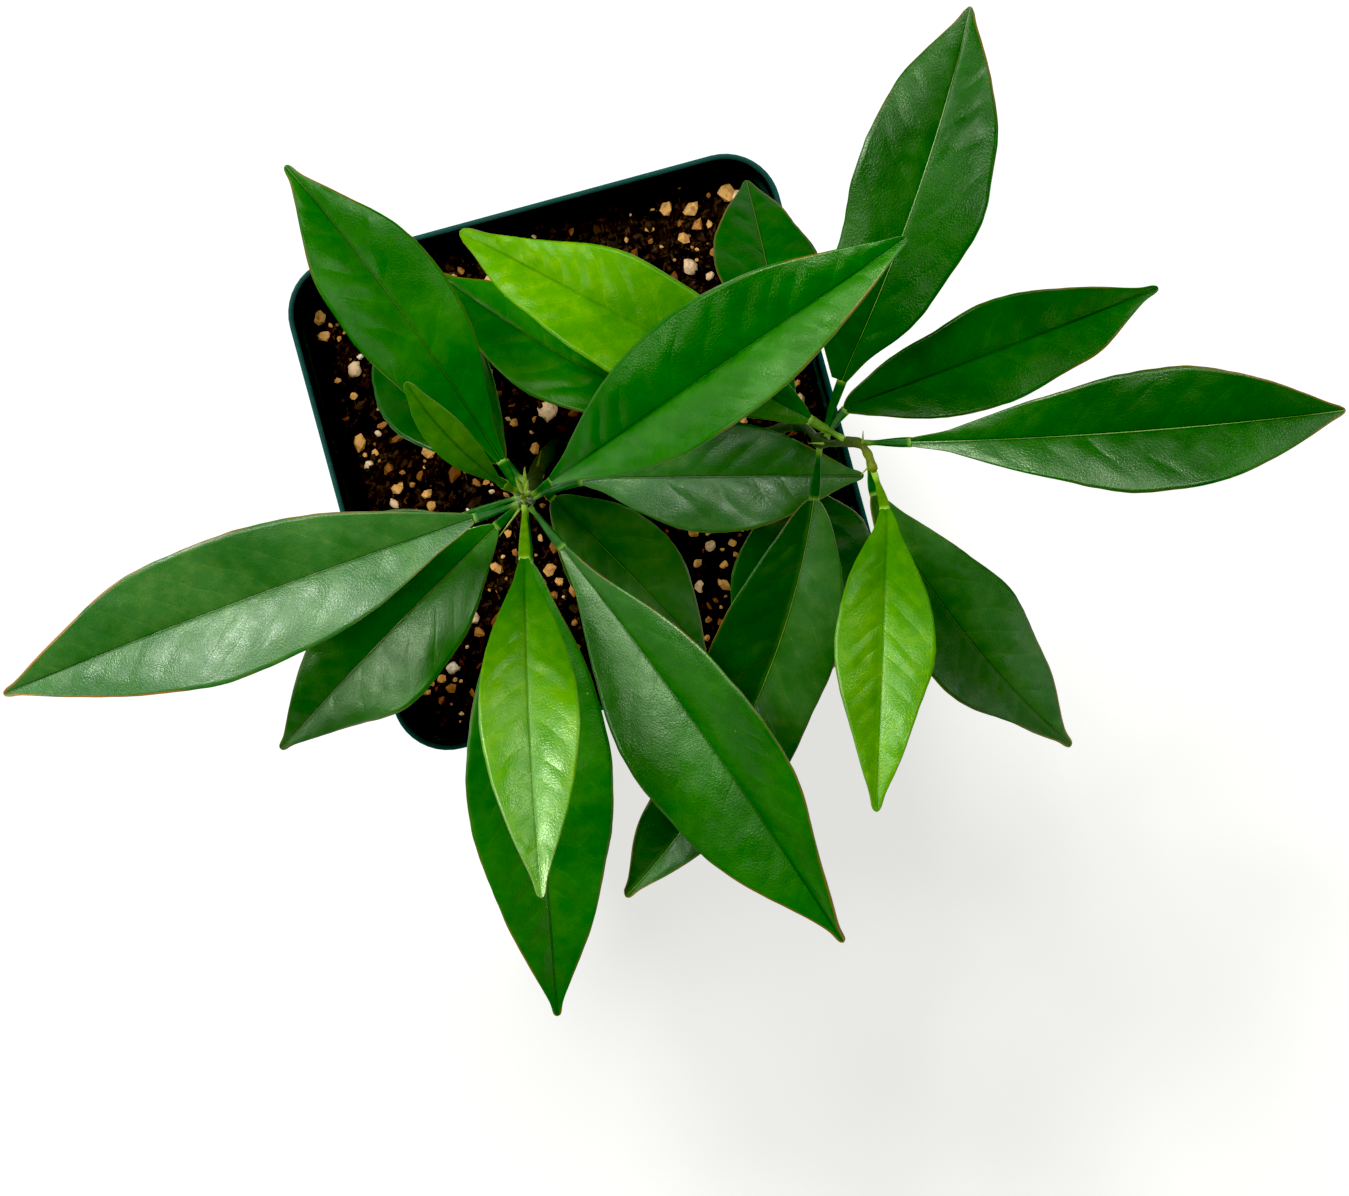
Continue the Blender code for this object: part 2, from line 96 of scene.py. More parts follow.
def addAttribute(piece, name, values):
    # a list with a number or a vector for each corner, or one number for them all
    if not isinstance(values, list):
        values = [values] * len(piece.data.vertices)
    kind, slot = ("FLOAT_VECTOR", "vector") if isinstance(values[0], tuple) else ("FLOAT", "value")
    layer = piece.data.attributes.new(name, kind, "POINT")
    for item, value in zip(layer.data, values):
        setattr(item, slot, value)


def joinPieces(pieces, name):
    selectOnly(*pieces)
    if len(pieces) > 1:
        bpy.ops.object.join()
    joined = bpy.context.object
    joined.name = joined.data.name = name
    bpy.ops.object.transform_apply(location=True, rotation=True, scale=True)
    return joined


def coat(piece, material):
    piece.data.materials.clear()
    piece.data.materials.append(material)


def finish(piece, slotName, nodeName):
    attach(piece, "root")
    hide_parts(nodeName)


def smoothStep(value):
    value = min(max(value, 0.0), 1.0)
    return value * value * (3 - 2 * value)


def hump(distance, width):
    return math.exp(-(distance / width) ** 2)


def between(ends, share):
    return ends[0] + (ends[1] - ends[0]) * share


def heading(bearing, rise):
    flat = math.cos(math.radians(rise))
    return Vector((flat * math.cos(math.radians(bearing)), flat * math.sin(math.radians(bearing)),
                   math.sin(math.radians(rise))))


# Shared ways of mixing materials. A mix holds a material's nodes, its colour so far and its bumps so far
def startMix(name, colour):
    material = bpy.data.materials.new(name)
    material.use_nodes = True
    mix = {"material": material, "tree": material.node_tree, "body": colour, "bumps": {}}
    mix["here"] = addNode(mix, "ShaderNodeTexCoord").outputs["Object"]
    return mix


def feed(mix, node, socket, value):
    if isinstance(value, bpy.types.NodeSocket):
        mix["tree"].links.new(value, node.inputs[socket])
    else:
        node.inputs[socket].default_value = value


def addNode(mix, kind, inputs=None, **settings):
    node = mix["tree"].nodes.new(kind)
    for setting, value in settings.items():
        setattr(node, setting, value)
    for socket, value in (inputs or {}).items():
        feed(mix, node, socket, value)
    return node


def calc(mix, operation, first, second=0.0):
    return addNode(mix, "ShaderNodeMath", {0: first, 1: second}, operation=operation).outputs[0]


def times(mix, first, *others):
    for other in others:
        first = calc(mix, "MULTIPLY", first, other)
    return first


def fade(mix, value, start, end, low=0.0, high=1.0):
    # a smooth change from low to high while the value goes from start to end
    return addNode(mix, "ShaderNodeMapRange", {0: value, 1: start, 2: end, 3: low, 4: high},
                   interpolation_type="SMOOTHSTEP").outputs[0]


def blend(mix, factor, first, second, kind="MIX"):
    return addNode(mix, "ShaderNodeMix", {0: factor, 6: first, 7: second}, data_type="RGBA",
                   blend_type=kind).outputs[2]


def lay(mix, colour, *masks):
    # lays a colour over the mix, as far as all the masks let it
    mix["body"] = blend(mix, times(mix, *masks), mix["body"], colour)


def tint(mix, colour, *masks):
    # multiplies the mix by a colour, as far as all the masks let it
    mix["body"] = blend(mix, times(mix, *masks), mix["body"], colour, "MULTIPLY")


def noiseOf(mix, scale, detail=3.0, roughness=0.5, place=None):
    return addNode(mix, "ShaderNodeTexNoise", {"Vector": place or mix["here"], "Scale": scale,
                                               "Detail": detail, "Roughness": roughness}).outputs["Fac"]


def cellsOf(mix, scale, feature="DISTANCE_TO_EDGE"):
    return addNode(mix, "ShaderNodeTexVoronoi", {"Vector": mix["here"], "Scale": scale},
                   feature=feature).outputs["Distance"]


def specksOf(mix, scale, sizes):
    # small round spots, 1 inside the first size and 0 outside the second
    return fade(mix, cellsOf(mix, scale, "F1"), *sizes, 1, 0)


def drawnOut(mix, scale, turn=0.0):
    # the place squeezed along one way, so that a pattern on it runs in streaks
    return addNode(mix, "ShaderNodeMapping", {"Vector": mix["here"], "Rotation": (0, 0, turn),
                                              "Scale": scale}).outputs[0]


def attribute(mix, name, output="Fac"):
    return addNode(mix, "ShaderNodeAttribute", attribute_name=name).outputs[output]


def apart(mix, vector):
    return addNode(mix, "ShaderNodeSeparateXYZ", {0: vector}).outputs


def addBump(mix, height, distance, strength=1.0):
    # each bump lies over the ones before it
    bump = addNode(mix, "ShaderNodeBump", {"Strength": strength, "Distance": distance, "Height": height,
                                           **mix["bumps"]})
    mix["bumps"] = {"Normal": bump.outputs[0]}


def finishMix(mix, sockets):
    shader = mix["tree"].nodes["Principled BSDF"]
    for socket, value in {"Base Color": mix["body"], **sockets, **mix["bumps"]}.items():
        feed(mix, shader, socket, value)
    return mix["material"]


def rgba(colour, gain=1.0):
    return (colour[0] * gain, colour[1] * gain, colour[2] * gain, 1.0)


# Camera, straight above the plant and a little to the front
view = {"lens": 80, "eye": (0.0092, -0.0323, 0.680), "turn": -15.2}

bpy.ops.object.camera_add(location=view["eye"], rotation=(0, 0, math.radians(view["turn"])))
camera = bpy.context.object
camera.data.lens = view["lens"]
camera.data.clip_start = 0.01
bpy.context.scene.camera = camera

# A white table that glows a little, so that shadows on it stay light
floorLook = {"size": 6.0, "colour": (0.50, 0.50, 0.49), "glow": 0.73, "glowColour": (1.0, 1.0, 0.97),
             "roughness": 0.8}

selectOnly()
bpy.ops.mesh.primitive_plane_add(size=floorLook["size"])
floor = bpy.context.object
floor.name = "floor"
coat(floor, finishMix(startMix("floorPaper", rgba(floorLook["colour"])), {
    "Roughness": floorLook["roughness"], "Specular IOR Level": 0.0,
    "Emission Color": rgba(floorLook["glowColour"]), "Emission Strength": floorLook["glow"]}))

# Soft lights all round: the bearing they shine from, from +X towards +Y, height and width in degrees of sky,
# and strength. The table gets its light, and so its one soft shadow, from the floorOnly window alone
lightLook = {
    "windows": {
        "mainWindow": (128, 59, 15, 2.75),
        "topWindow": (30, 82, 20, 1.40),
        "rightWindow": (25, 33, 18, 0.80),
        "leftWindow": (188, 33, 18, 0.85),
        "lowWindow": (134, 20, 16, 0.85),
        "frontGlow": (-45, 20, 20, 0.30),
        "floorWindow": (104, 53, 19, 2.60),
    },
    "floorOnly": "floorWindow",
    "fill": 0.05,            # how bright the white surroundings are as a light
    "backdrop": 1.0,         # and to the camera
    "blackLevel": 0.014,     # the photo's deep greens are printed hard
}

tableTop = bpy.data.collections.new("tableTop")
tableTop.objects.link(floor)
allButTable = bpy.data.collections.new("allButTable")
allButTable.objects.link(floor)
allButTable.collection_objects[0].light_linking.link_state = "EXCLUDE"

for windowName, (bearing, rise, width, strength) in lightLook["windows"].items():
    toWindow = heading(bearing, rise)
    turned = toWindow.to_track_quat("Z", "Y").to_euler()
    bpy.ops.object.light_add(type="SUN", location=toWindow, rotation=turned)
    lamp = bpy.context.object
    lamp.name = windowName
    lamp.data.angle = math.radians(width)
    lamp.data.energy = strength
    lamp.light_linking.receiver_collection = tableTop if windowName == lightLook["floorOnly"] else allButTable

world = bpy.data.worlds.new("studio")
bpy.context.scene.world = world
world.use_nodes = True
sky = {"tree": world.node_tree}
background = world.node_tree.nodes["Background"]
seen = addNode(sky, "ShaderNodeLightPath").outputs["Is Camera Ray"]
feed(sky, background, "Strength", fade(sky, seen, 0, 1, lightLook["fill"], lightLook["backdrop"]))
feed(sky, background, "Color", rgba((1, 1, 1)))

toning = bpy.context.scene.view_settings
toning.view_transform = "Standard"
toning.use_curve_mapping = True
toning.curve_mapping.black_level = [lightLook["blackLevel"]] * 3
toning.curve_mapping.update()
print("camera, floor and windows set")


# Pot: a square nursery pot, thin plastic, wider towards its rim
potForm = {
    "baseSide": 0.0740,
    "side": 0.0980,          # just under the rim band
    "rimSide": 0.0998,
    "height": 0.0899,
    "corner": 0.0108,
    "cornerSteps": 10,
    "rings": 9,              # cuts between foot and band, so that the sides can bow
    "band": 0.0090,
    "bandStep": 0.0005,
    "wall": 0.0011,
    "bow": 0.0003,           # how far the thin sides bulge
    "bowAbove": 0.0020,
    "middle": 0.03,          # the pot's sides lie farther out than this
    "edge": 0.00028,
    "foot": 0.0010,
    "drainRadius": 0.0040,
    "drainOffset": 0.0240,
    "drillDepth": 0.012,
    "sharpFrom": (40, 35),   # degrees: edges from here on are rounded, and faces from here on meet sharply
}
potLook = {
    "deep": (0.0010, 0.0120, 0.0092),
    "wornAndLitGreen": (0.0008, 0.0500, 0.0380),
    "dust": (0.060, 0.058, 0.045),
    "paintedRimLight": (0.0009, 0.0002),     # the painted lit green line starts and ends this far inside the rim's edge
    "roughness": 0.46,
    "specular": 0.12,
}


def makePotBox():
    form = potForm
    selectOnly()
    bpy.ops.mesh.primitive_cube_add(size=1, location=(0, 0, form["height"] / 2))
    pot = bpy.context.object
    pot.name = "nurseryPot"
    pot.scale = (form["side"], form["side"], form["height"])
    bpy.ops.object.transform_apply(location=True, rotation=True, scale=True)
    # round the four upright edges
    ends = pot.data.vertices
    pick(pot, "EDGE", lambda edge: ends[edge.vertices[0]].co.z != ends[edge.vertices[1]].co.z)
    bpy.ops.mesh.bevel(offset=form["corner"], segments=form["cornerSteps"], affect="EDGES")
    # draw the foot in
    done()
    pick(pot, "VERT", lambda corner: corner.co.z < form["foot"])
    share = form["baseSide"] / form["side"]
    bpy.ops.transform.resize(value=(share, share, 1), center_override=(0, 0, 0))
    # open the top
    done()
    pick(pot, "FACE", lambda face: face.normal.z > 0.9)
    bpy.ops.mesh.delete(type="FACE")
    return pot


def makePot():
    form = potForm
    pot = makePotBox()
    bandAt = form["height"] - form["band"]
    for height in [form["foot"], *(bandAt * ring / form["rings"] for ring in range(1, form["rings"] + 1)),
                   bandAt + form["bandStep"]]:
        bpy.ops.mesh.select_all(action="SELECT")
        bpy.ops.mesh.bisect(plane_co=(0, 0, height), plane_no=(0, 0, 1))
    # set the rim band outwards and straight up
    done()
    sides = (form["baseSide"], form["side"])
    for corner in pot.data.vertices:
        place = corner.co
        inBand = place.z > bandAt + form["bandStep"] / 2
        wanted = form["rimSide"] if inBand else between(sides, place.z / bandAt)
        grow = wanted / between(sides, place.z / form["height"])
        place.x *= grow
        place.y *= grow
    applyModifier(pot, "SOLIDIFY", thickness=form["wall"], offset=-1.0, use_even_offset=True)
    # bulge the sides a little between the corners
    for corner in pot.data.vertices:
        place = corner.co
        way = 0 if abs(place.x) > abs(place.y) else 1
        reach = abs(place[way])
        if reach > form["middle"] and place.z > form["bowAbove"]:
            push = form["bow"] * math.sin(math.pi * min(place.z / bandAt, 1.0))
            place[way] += math.copysign(push * math.cos(math.pi / 2 * place[1 - way] / reach), place[way])
    roundFrom, sharpFrom = map(math.radians, form["sharpFrom"])
    applyModifier(pot, "BEVEL", width=form["edge"], segments=2, limit_method="ANGLE", angle_limit=roundFrom)
    drills = []
    for across in (-1, 1):
        for along in (-1, 1):
            selectOnly()
            bpy.ops.mesh.primitive_cylinder_add(
                vertices=32, radius=form["drainRadius"], depth=form["drillDepth"],
                location=(across * form["drainOffset"], along * form["drainOffset"], 0))
            drills.append(bpy.context.object)
    drill = joinPieces(drills, "drill")
    applyModifier(pot, "BOOLEAN", operation="DIFFERENCE", solver="EXACT", object=drill)
    bpy.data.objects.remove(drill)
    selectOnly(pot)
    bpy.ops.object.shade_smooth_by_angle(angle=sharpFrom)
    coat(pot, makePotPlastic())
    finish(pot, "pot_plastic", "pot")


def makePotPlastic():
    mix = startMix("potPlastic", rgba(potLook["deep"]))
    lay(mix, rgba(potLook["wornAndLitGreen"], 0.40), fade(mix, noiseOf(mix, 45, 4), 0.3, 0.7))
    # painted highlight on the rim's outer edge, lighter green where light catches it; reach is the distance
    # from the corner's centre
    *ways, height = apart(mix, mix["here"])
    flat = potForm["rimSide"] / 2 - potForm["corner"]
    past = [calc(mix, "SUBTRACT", calc(mix, "ABSOLUTE", way), flat) for way in ways]
    past = addNode(mix, "ShaderNodeCombineXYZ", {axis: calc(mix, "MAXIMUM", past[axis]) for axis in (0, 1)})
    reach = addNode(mix, "ShaderNodeVectorMath", {0: past.outputs[0]}, operation="LENGTH").outputs["Value"]
    paintedRimLight = fade(mix, reach, potForm["corner"] - potLook["paintedRimLight"][0], potForm["corner"] - potLook["paintedRimLight"][1])
    lay(mix, rgba(potLook["wornAndLitGreen"]), paintedRimLight, fade(mix, height, 0.070, 0.0885))
    # dried splashes of mix and limescale near the foot and inside
    dust = fade(mix, noiseOf(mix, 130, 5, 0.65), 0.52, 0.72)
    dust = times(mix, dust, fade(mix, height, 0.088, 0.0, 0.10, 0.55))
    lay(mix, rgba(potLook["dust"]), dust)
    scratch = fade(mix, noiseOf(mix, 900, 2, 0.7, drawnOut(mix, (1, 1, 0.12))), 0.60, 0.72)
    lay(mix, rgba(potLook["wornAndLitGreen"], 2.2), scratch, 0.25)
    rough = calc(mix, "ADD", potLook["roughness"], times(mix, noiseOf(mix, 260, 3), 0.16))
    addBump(mix, noiseOf(mix, 2200, 2), 0.00004, 0.5)
    addBump(mix, noiseOf(mix, 35, 2), 0.0006, 0.4)
    rough = calc(mix, "ADD", rough, times(mix, dust, 0.4))
    return finishMix(mix, {"Roughness": rough, "Specular IOR Level": potLook["specular"]})


makePot()
print("pot made")


# Soil: a crumbly bed, with bark, grit and perlite lying on it
soilForm = {
    "side": 0.0940,
    "lowSide": 0.0714,
    "corner": 0.0106,
    "low": 0.0020,
    "level": 0.0773,
    "mound": 0.0020,
    "moundSpread": 0.0187,
    "cells": 170,
    "lumps": ((140, 0.00063), (330, 0.00056), (760, 0.00035)),  # how many per metre, and how high
    "reach": 0.0452,
    "clearOfStem": 0.0045,
    "clearOfRim": 0.0012,
    "fewLong": 1.8,          # the higher, the fewer of the pieces are long
    "patterns": 6,           # different shapes of each kind of piece
    "tilt": (0.5, 0.4),
    "sunk": 0.22,
    "toneVary": 0.03,
    "drifts": (90, -0.5, 0.25),  # grit and bark gather: drifts per metre, and how sharp they are
    "closest": 0.45,         # of two bright pieces, for the sum of their lengths
    "seed": 11,
}

# Loose pieces: how many, length from and to, width and height as shares of it, tone from and to, and fineness
# and wildness of the shape. Tones: 0 peat, 0.25 dark bark, 0.45 rust, 0.65 tan, 0.85 pinkish white, 1 white
chipKinds = {
    "peat": {"count": 520, "length": (0.0010, 0.0032), "width": (0.6, 0.9), "height": (0.45, 0.8),
             "tone": (0.0, 0.16), "shape": (1, 0.16)},
    "bark": {"count": 110, "length": (0.0018, 0.0050), "width": (0.35, 0.70), "height": (0.25, 0.45),
             "tone": (0.20, 0.50), "shape": (1, 0.21)},
    "grit": {"count": 380, "length": (0.0008, 0.0034), "width": (0.6, 0.95), "height": (0.5, 0.8),
             "tone": (0.48, 0.76), "shape": (1, 0.21)},
    "perlite": {"count": 55, "length": (0.0012, 0.0032), "width": (0.7, 0.95), "height": (0.6, 0.85),
                "tone": (0.80, 1.0), "shape": (2, 0.20)},
}

# Bright pieces that can be seen between the leaves: x, y, length, kind. Each kind is one above, with its tone
placedChips = [
    (-0.0448, 0.0406, 0.0034, "tan"), (-0.0449, 0.0368, 0.0030, "tan"), (-0.0407, 0.0287, 0.0034, "pale"),
    (-0.0446, 0.0275, 0.0018, "tan"), (-0.0451, 0.0197, 0.0020, "rust"), (-0.0436, 0.0143, 0.0036, "tan"),
    (-0.0430, 0.0093, 0.0024, "pale"), (-0.0386, 0.0035, 0.0030, "tan"), (-0.0336, 0.0049, 0.0028, "rust"),
    (-0.0155, 0.0204, 0.0038, "pale"), (-0.0145, 0.0163, 0.0036, "rust"), (-0.0118, 0.0136, 0.0024, "rust"),
    (-0.0055, 0.0104, 0.0040, "pale"), (-0.0400, 0.0007, 0.0022, "pale"), (-0.0236, -0.0172, 0.0034, "tan"),
    (-0.0134, -0.0203, 0.0034, "tan"), (-0.0309, -0.0256, 0.0028, "pale"), (0.0280, 0.0436, 0.0034, "tan"),
    (0.0328, 0.0420, 0.0042, "tan"), (0.0300, 0.0369, 0.0028, "tan"), (0.0296, 0.0308, 0.0034, "pale"),
    (0.0330, 0.0282, 0.0022, "pale"), (0.0405, 0.0434, 0.0040, "tan"), (0.0427, 0.0420, 0.0030, "pale"),
    (0.0440, 0.0385, 0.0026, "tan"), (0.0239, 0.0406, 0.0022, "tan"), (0.0163, -0.0205, 0.0024, "tan"),
    (0.0188, -0.0241, 0.0024, "pale"), (0.0156, -0.0268, 0.0020, "tan"), (0.0205, -0.0285, 0.0022, "tan"),
    (0.0147, -0.0315, 0.0024, "pale"), (0.0195, -0.0324, 0.0032, "tan"), (0.0155, -0.0357, 0.0020, "rust"),
    (0.0134, -0.0418, 0.0016, "tan"), (0.0111, -0.0189, 0.0016, "rust"), (0.0171, -0.0349, 0.0018, "rust"),
    (0.0173, -0.0245, 0.0016, "rust"), (0.0086, 0.0442, 0.0020, "rust"), (0.0006, 0.0446, 0.0020, "pale"),
    (-0.0350, -0.0400, 0.0026, "rust"),
]
placedKinds = {"tan": ("grit", 0.66), "pale": ("perlite", 0.87), "rust": ("bark", 0.47)}

# Colour of the mix by tone, from peat to perlite
soilLook = {
    "tones": ((0.0, (0.012, 0.0085, 0.0055)), (0.16, (0.026, 0.017, 0.0095)), (0.30, (0.034, 0.019, 0.010)),
              (0.45, (0.130, 0.048, 0.013)), (0.55, (0.360, 0.160, 0.042)), (0.68, (0.600, 0.330, 0.100)),
              (0.84, (0.640, 0.430, 0.230)), (1.0, (0.720, 0.600, 0.420))),
    "fibre": (0.050, 0.032, 0.020),
    "damp": (0.0040, 0.0032, 0.0026),
    "speck": (0.20, 0.11, 0.045),
    "grime": (0.070, 0.040, 0.022),
    "specular": 0.12,
}


def soilHeight(x, y):
    form = soilForm
    height = form["level"] + form["mound"] * hump(math.hypot(x, y), form["moundSpread"])
    for size, lift in form["lumps"]:
        height += lift * (1 - 2 * abs(noise.noise(Vector((x * size, y * size, size)))))
    return height


def roundedPlace(across, along, side, corner):
    # a place on a square sheet, its corners rounded off
    reach = side / 2
    x, y = (2 * across - 1) * reach, (2 * along - 1) * reach
    a, b = (abs(x) - reach + corner) / corner, (abs(y) - reach + corner) / corner
    if a > 0 and b > 0:
        a, b = a * math.sqrt(1 - b * b / 2), b * math.sqrt(1 - a * a / 2)
        x = math.copysign(reach - corner + a * corner, x)
        y = math.copysign(reach - corner + b * corner, y)
    return x, y


def makeSoilBed():
    form = soilForm

    def placeAt(across, along):
        x, y = roundedPlace(across, along, form["side"], form["corner"])
        return x, y, soilHeight(x, y)

    bed = shapedGrid("pottingMix", form["cells"], form["cells"], placeAt)
    uses = {}
    for face in bed.data.polygons:
        for key in face.edge_keys:
            uses[key] = uses.get(key, 0) + 1
    # sides and underside, down to the pot's floor
    pick(bed, "EDGE", lambda edge: uses[edge.key] == 1)
    bpy.ops.mesh.extrude_region_move(TRANSFORM_OT_translate={"value": (0, 0, -form["level"] / 2)})
    share = form["lowSide"] / form["side"]
    bpy.ops.transform.resize(value=(share, share, 1), center_override=(0, 0, 0))
    done()
    for corner in bed.data.vertices:
        if corner.co.z < form["level"] * 0.75:
            corner.co.z = form["low"]
    pick(bed, "VERT", lambda corner: corner.co.z < form["level"] / 2)
    bpy.ops.mesh.edge_face_add()
    done()
    addAttribute(bed, "chipTone", 0.0)
    return bed


def chipPattern(shape, seed):
    # one loose piece about a metre long, roughened, to be copied and sized
    selectOnly()
    fineness, wildness = shape
    bpy.ops.mesh.primitive_ico_sphere_add(subdivisions=fineness, radius=0.5)
    pattern = bpy.context.object
    pick(pattern, "VERT", lambda corner: True)
    bpy.ops.transform.vertex_random(offset=wildness, seed=seed)
    done()
    if fineness > 1:
        bpy.ops.object.shade_smooth()
    return pattern


def layChip(pattern, x, y, length, kind, tone, draw):
    chip = pattern.copy()
    chip.data = pattern.data.copy()
    bpy.context.collection.objects.link(chip)
    width, height = length * draw.uniform(*kind["width"]), length * draw.uniform(*kind["height"])
    tilt = [draw.uniform(-most, most) for most in soilForm["tilt"]]
    turn = Euler((*tilt, draw.uniform(0, math.tau))).to_matrix()
    place = Matrix.Translation((x, y, soilHeight(x, y) + height * soilForm["sunk"]))
    chip.matrix_world = place @ turn.to_4x4() @ Matrix.Diagonal((length, width, height, 1))
    addAttribute(chip, "chipTone", tone)
    return chip


def makeSoil():
    form = soilForm
    draw = random.Random(form["seed"])
    pieces = [makeSoilBed()]
    patterns = {kindName: [chipPattern(kind["shape"], seed + 1) for seed in range(form["patterns"])]
                for kindName, kind in chipKinds.items()}
    spots = []
    for x, y, length, look in placedChips:
        kindName, tone = placedKinds[look]
        pattern = draw.choice(patterns[kindName])
        tone += draw.uniform(-form["toneVary"], form["toneVary"])
        pieces.append(layChip(pattern, x, y, length, chipKinds[kindName], tone, draw))
        spots.append((x, y, length))
    flat = form["side"] / 2 - form["corner"]
    perMetre, *sharpness = form["drifts"]
    for kindName, kind in chipKinds.items():
        laid = 0
        while laid < kind["count"]:
            x, y = draw.uniform(-1, 1) * form["reach"], draw.uniform(-1, 1) * form["reach"]
            length = between(kind["length"], draw.random() ** form["fewLong"])
            toRim = form["corner"] - math.hypot(max(abs(x) - flat, 0), max(abs(y) - flat, 0))
            if toRim < form["clearOfRim"] + length / 2 or math.hypot(x, y) < form["clearOfStem"] + length / 2:
                continue
            if kindName != "peat":
                if noise.noise(Vector((x * perMetre, y * perMetre, 3))) < draw.uniform(*sharpness):
                    continue
                if any(math.hypot(x - a, y - b) < (length + size) * form["closest"] for a, b, size in spots):
                    continue
                spots.append((x, y, length))
            pattern = draw.choice(patterns[kindName])
            pieces.append(layChip(pattern, x, y, length, kind, draw.uniform(*kind["tone"]), draw))
            laid += 1
    soil = joinPieces(pieces, "pottingMix")
    for group in patterns.values():
        for pattern in group:
            bpy.data.objects.remove(pattern)
    coat(soil, makeSoilMix())
    finish(soil, "potting_mix", "soil")
    print("soil made:", len(pieces) - 1, "loose pieces")


def makeSoilMix():
    mix = startMix("pottingMixLook", None)
    tone = attribute(mix, "chipTone")
    grain = noiseOf(mix, 420, 4, 0.6)
    ramp = addNode(mix, "ShaderNodeValToRGB", {
        0: calc(mix, "ADD", tone, times(mix, calc(mix, "SUBTRACT", grain, 0.5), 0.16))})
    while len(ramp.color_ramp.elements) < len(soilLook["tones"]):
        ramp.color_ramp.elements.new(1.0)
    for stop, (place, colour) in zip(ramp.color_ramp.elements, soilLook["tones"]):
        stop.position = place
        stop.color = rgba(colour)
    mix["body"] = ramp.outputs[0]
    onBed = fade(mix, tone, 0.16, 0.22, 1, 0)
    # dark damp hollows, fine fibres and a few pale specks in the peat
    lay(mix, rgba(soilLook["damp"]), fade(mix, noiseOf(mix, 210, 4), 0.42, 0.62), onBed, 0.8)
    fibre = noiseOf(mix, 1500, 3, 0.6, drawnOut(mix, (1, 0.22, 1), 0.7))
    lay(mix, rgba(soilLook["fibre"]), fade(mix, fibre, 0.60, 0.70), onBed, 0.75)
    lay(mix, rgba(soilLook["speck"]), specksOf(mix, 420, (0.12, 0.17)),
        fade(mix, noiseOf(mix, 150, 1), 0.55, 0.62), onBed)
    # grime on the bright pieces
    lay(mix, rgba(soilLook["grime"]), fade(mix, noiseOf(mix, 700, 4, 0.65), 0.50, 0.70), 0.55)
    addBump(mix, noiseOf(mix, 1400, 4, 0.65), 0.0004, 0.9)
    addBump(mix, grain, 0.0005, 0.6)
    rough = fade(mix, noiseOf(mix, 300, 3), 0.3, 0.7, 0.72, 0.96)
    return finishMix(mix, {"Roughness": rough, "Specular IOR Level": soilLook["specular"]})


makeSoil()


# Shoots: the stem forks low; points run up each shoot, with its radius at each
shoots = {
    "main": {
        "points": [(0, 0, 0.066), (0, 0, 0.080), (-0.0040, 0.0020, 0.099), (-0.0083, -0.0013, 0.118),
                   (-0.0108, -0.0061, 0.134), (-0.0116, -0.0084, 0.148), (-0.0114, -0.0093, 0.160),
                   (-0.0108, -0.0091, 0.1745)],
        "radii": [0.0026, 0.0024, 0.0019, 0.0015, 0.0013, 0.0011, 0.0009, 0.0007],
        "age": (1.0, 0.35),      # at the foot and at the top
    },
    "side": {
        "points": [(-0.0055, 0.0011, 0.103), (0.0107, -0.0020, 0.117), (0.0274, -0.0074, 0.134),
                   (0.0357, -0.0083, 0.148), (0.0386, -0.0096, 0.160), (0.0406, -0.0135, 0.1705),
                   (0.0454, -0.0151, 0.178), (0.0464, -0.0178, 0.183), (0.0463, -0.0203, 0.1875)],
        "radii": [0.0013, 0.0013, 0.0011, 0.00085, 0.0007, 0.00062, 0.0006, 0.00056, 0.00056],
        "age": (0.62, 0.0),
    },
}
shootSteps = 24              # between each two points


def smoothRoute(values, steps):
    # Catmull-Rom curve through points or radii
    ends = [2 * values[0] - values[1], *values, 2 * values[-1] - values[-2]]
    route = []
    for a, b, c, d in zip(ends, ends[1:], ends[2:], ends[3:]):
        for step in range(steps):
            t = step / steps
            route.append(0.5 * (2 * b + (c - a) * t + (2 * a - 5 * b + 4 * c - d) * t * t
                                + (3 * b - a - 3 * c + d) * t * t * t))
    route.append(values[-1])
    return route


for shoot in shoots.values():
    shoot["route"] = smoothRoute([Vector(point) for point in shoot["points"]], shootSteps)
    shoot["thickness"] = smoothRoute(shoot["radii"], shootSteps)


def nearestOn(shoot, height):
    route = shoot["route"]
    return min(range(1, len(route)), key=lambda place: abs(route[place].z - height))


def besideShoot(shoot, height, bearing, clear):
    # a point this far clear of the shoot's bark
    route = shoot["route"]
    near = nearestOn(shoot, height)
    along = (route[near] - route[near - 1]).normalized()
    out = heading(bearing, 0)
    return route[near] + out * (shoot["thickness"][near] + clear) / math.sqrt(1 - along.dot(out) ** 2)
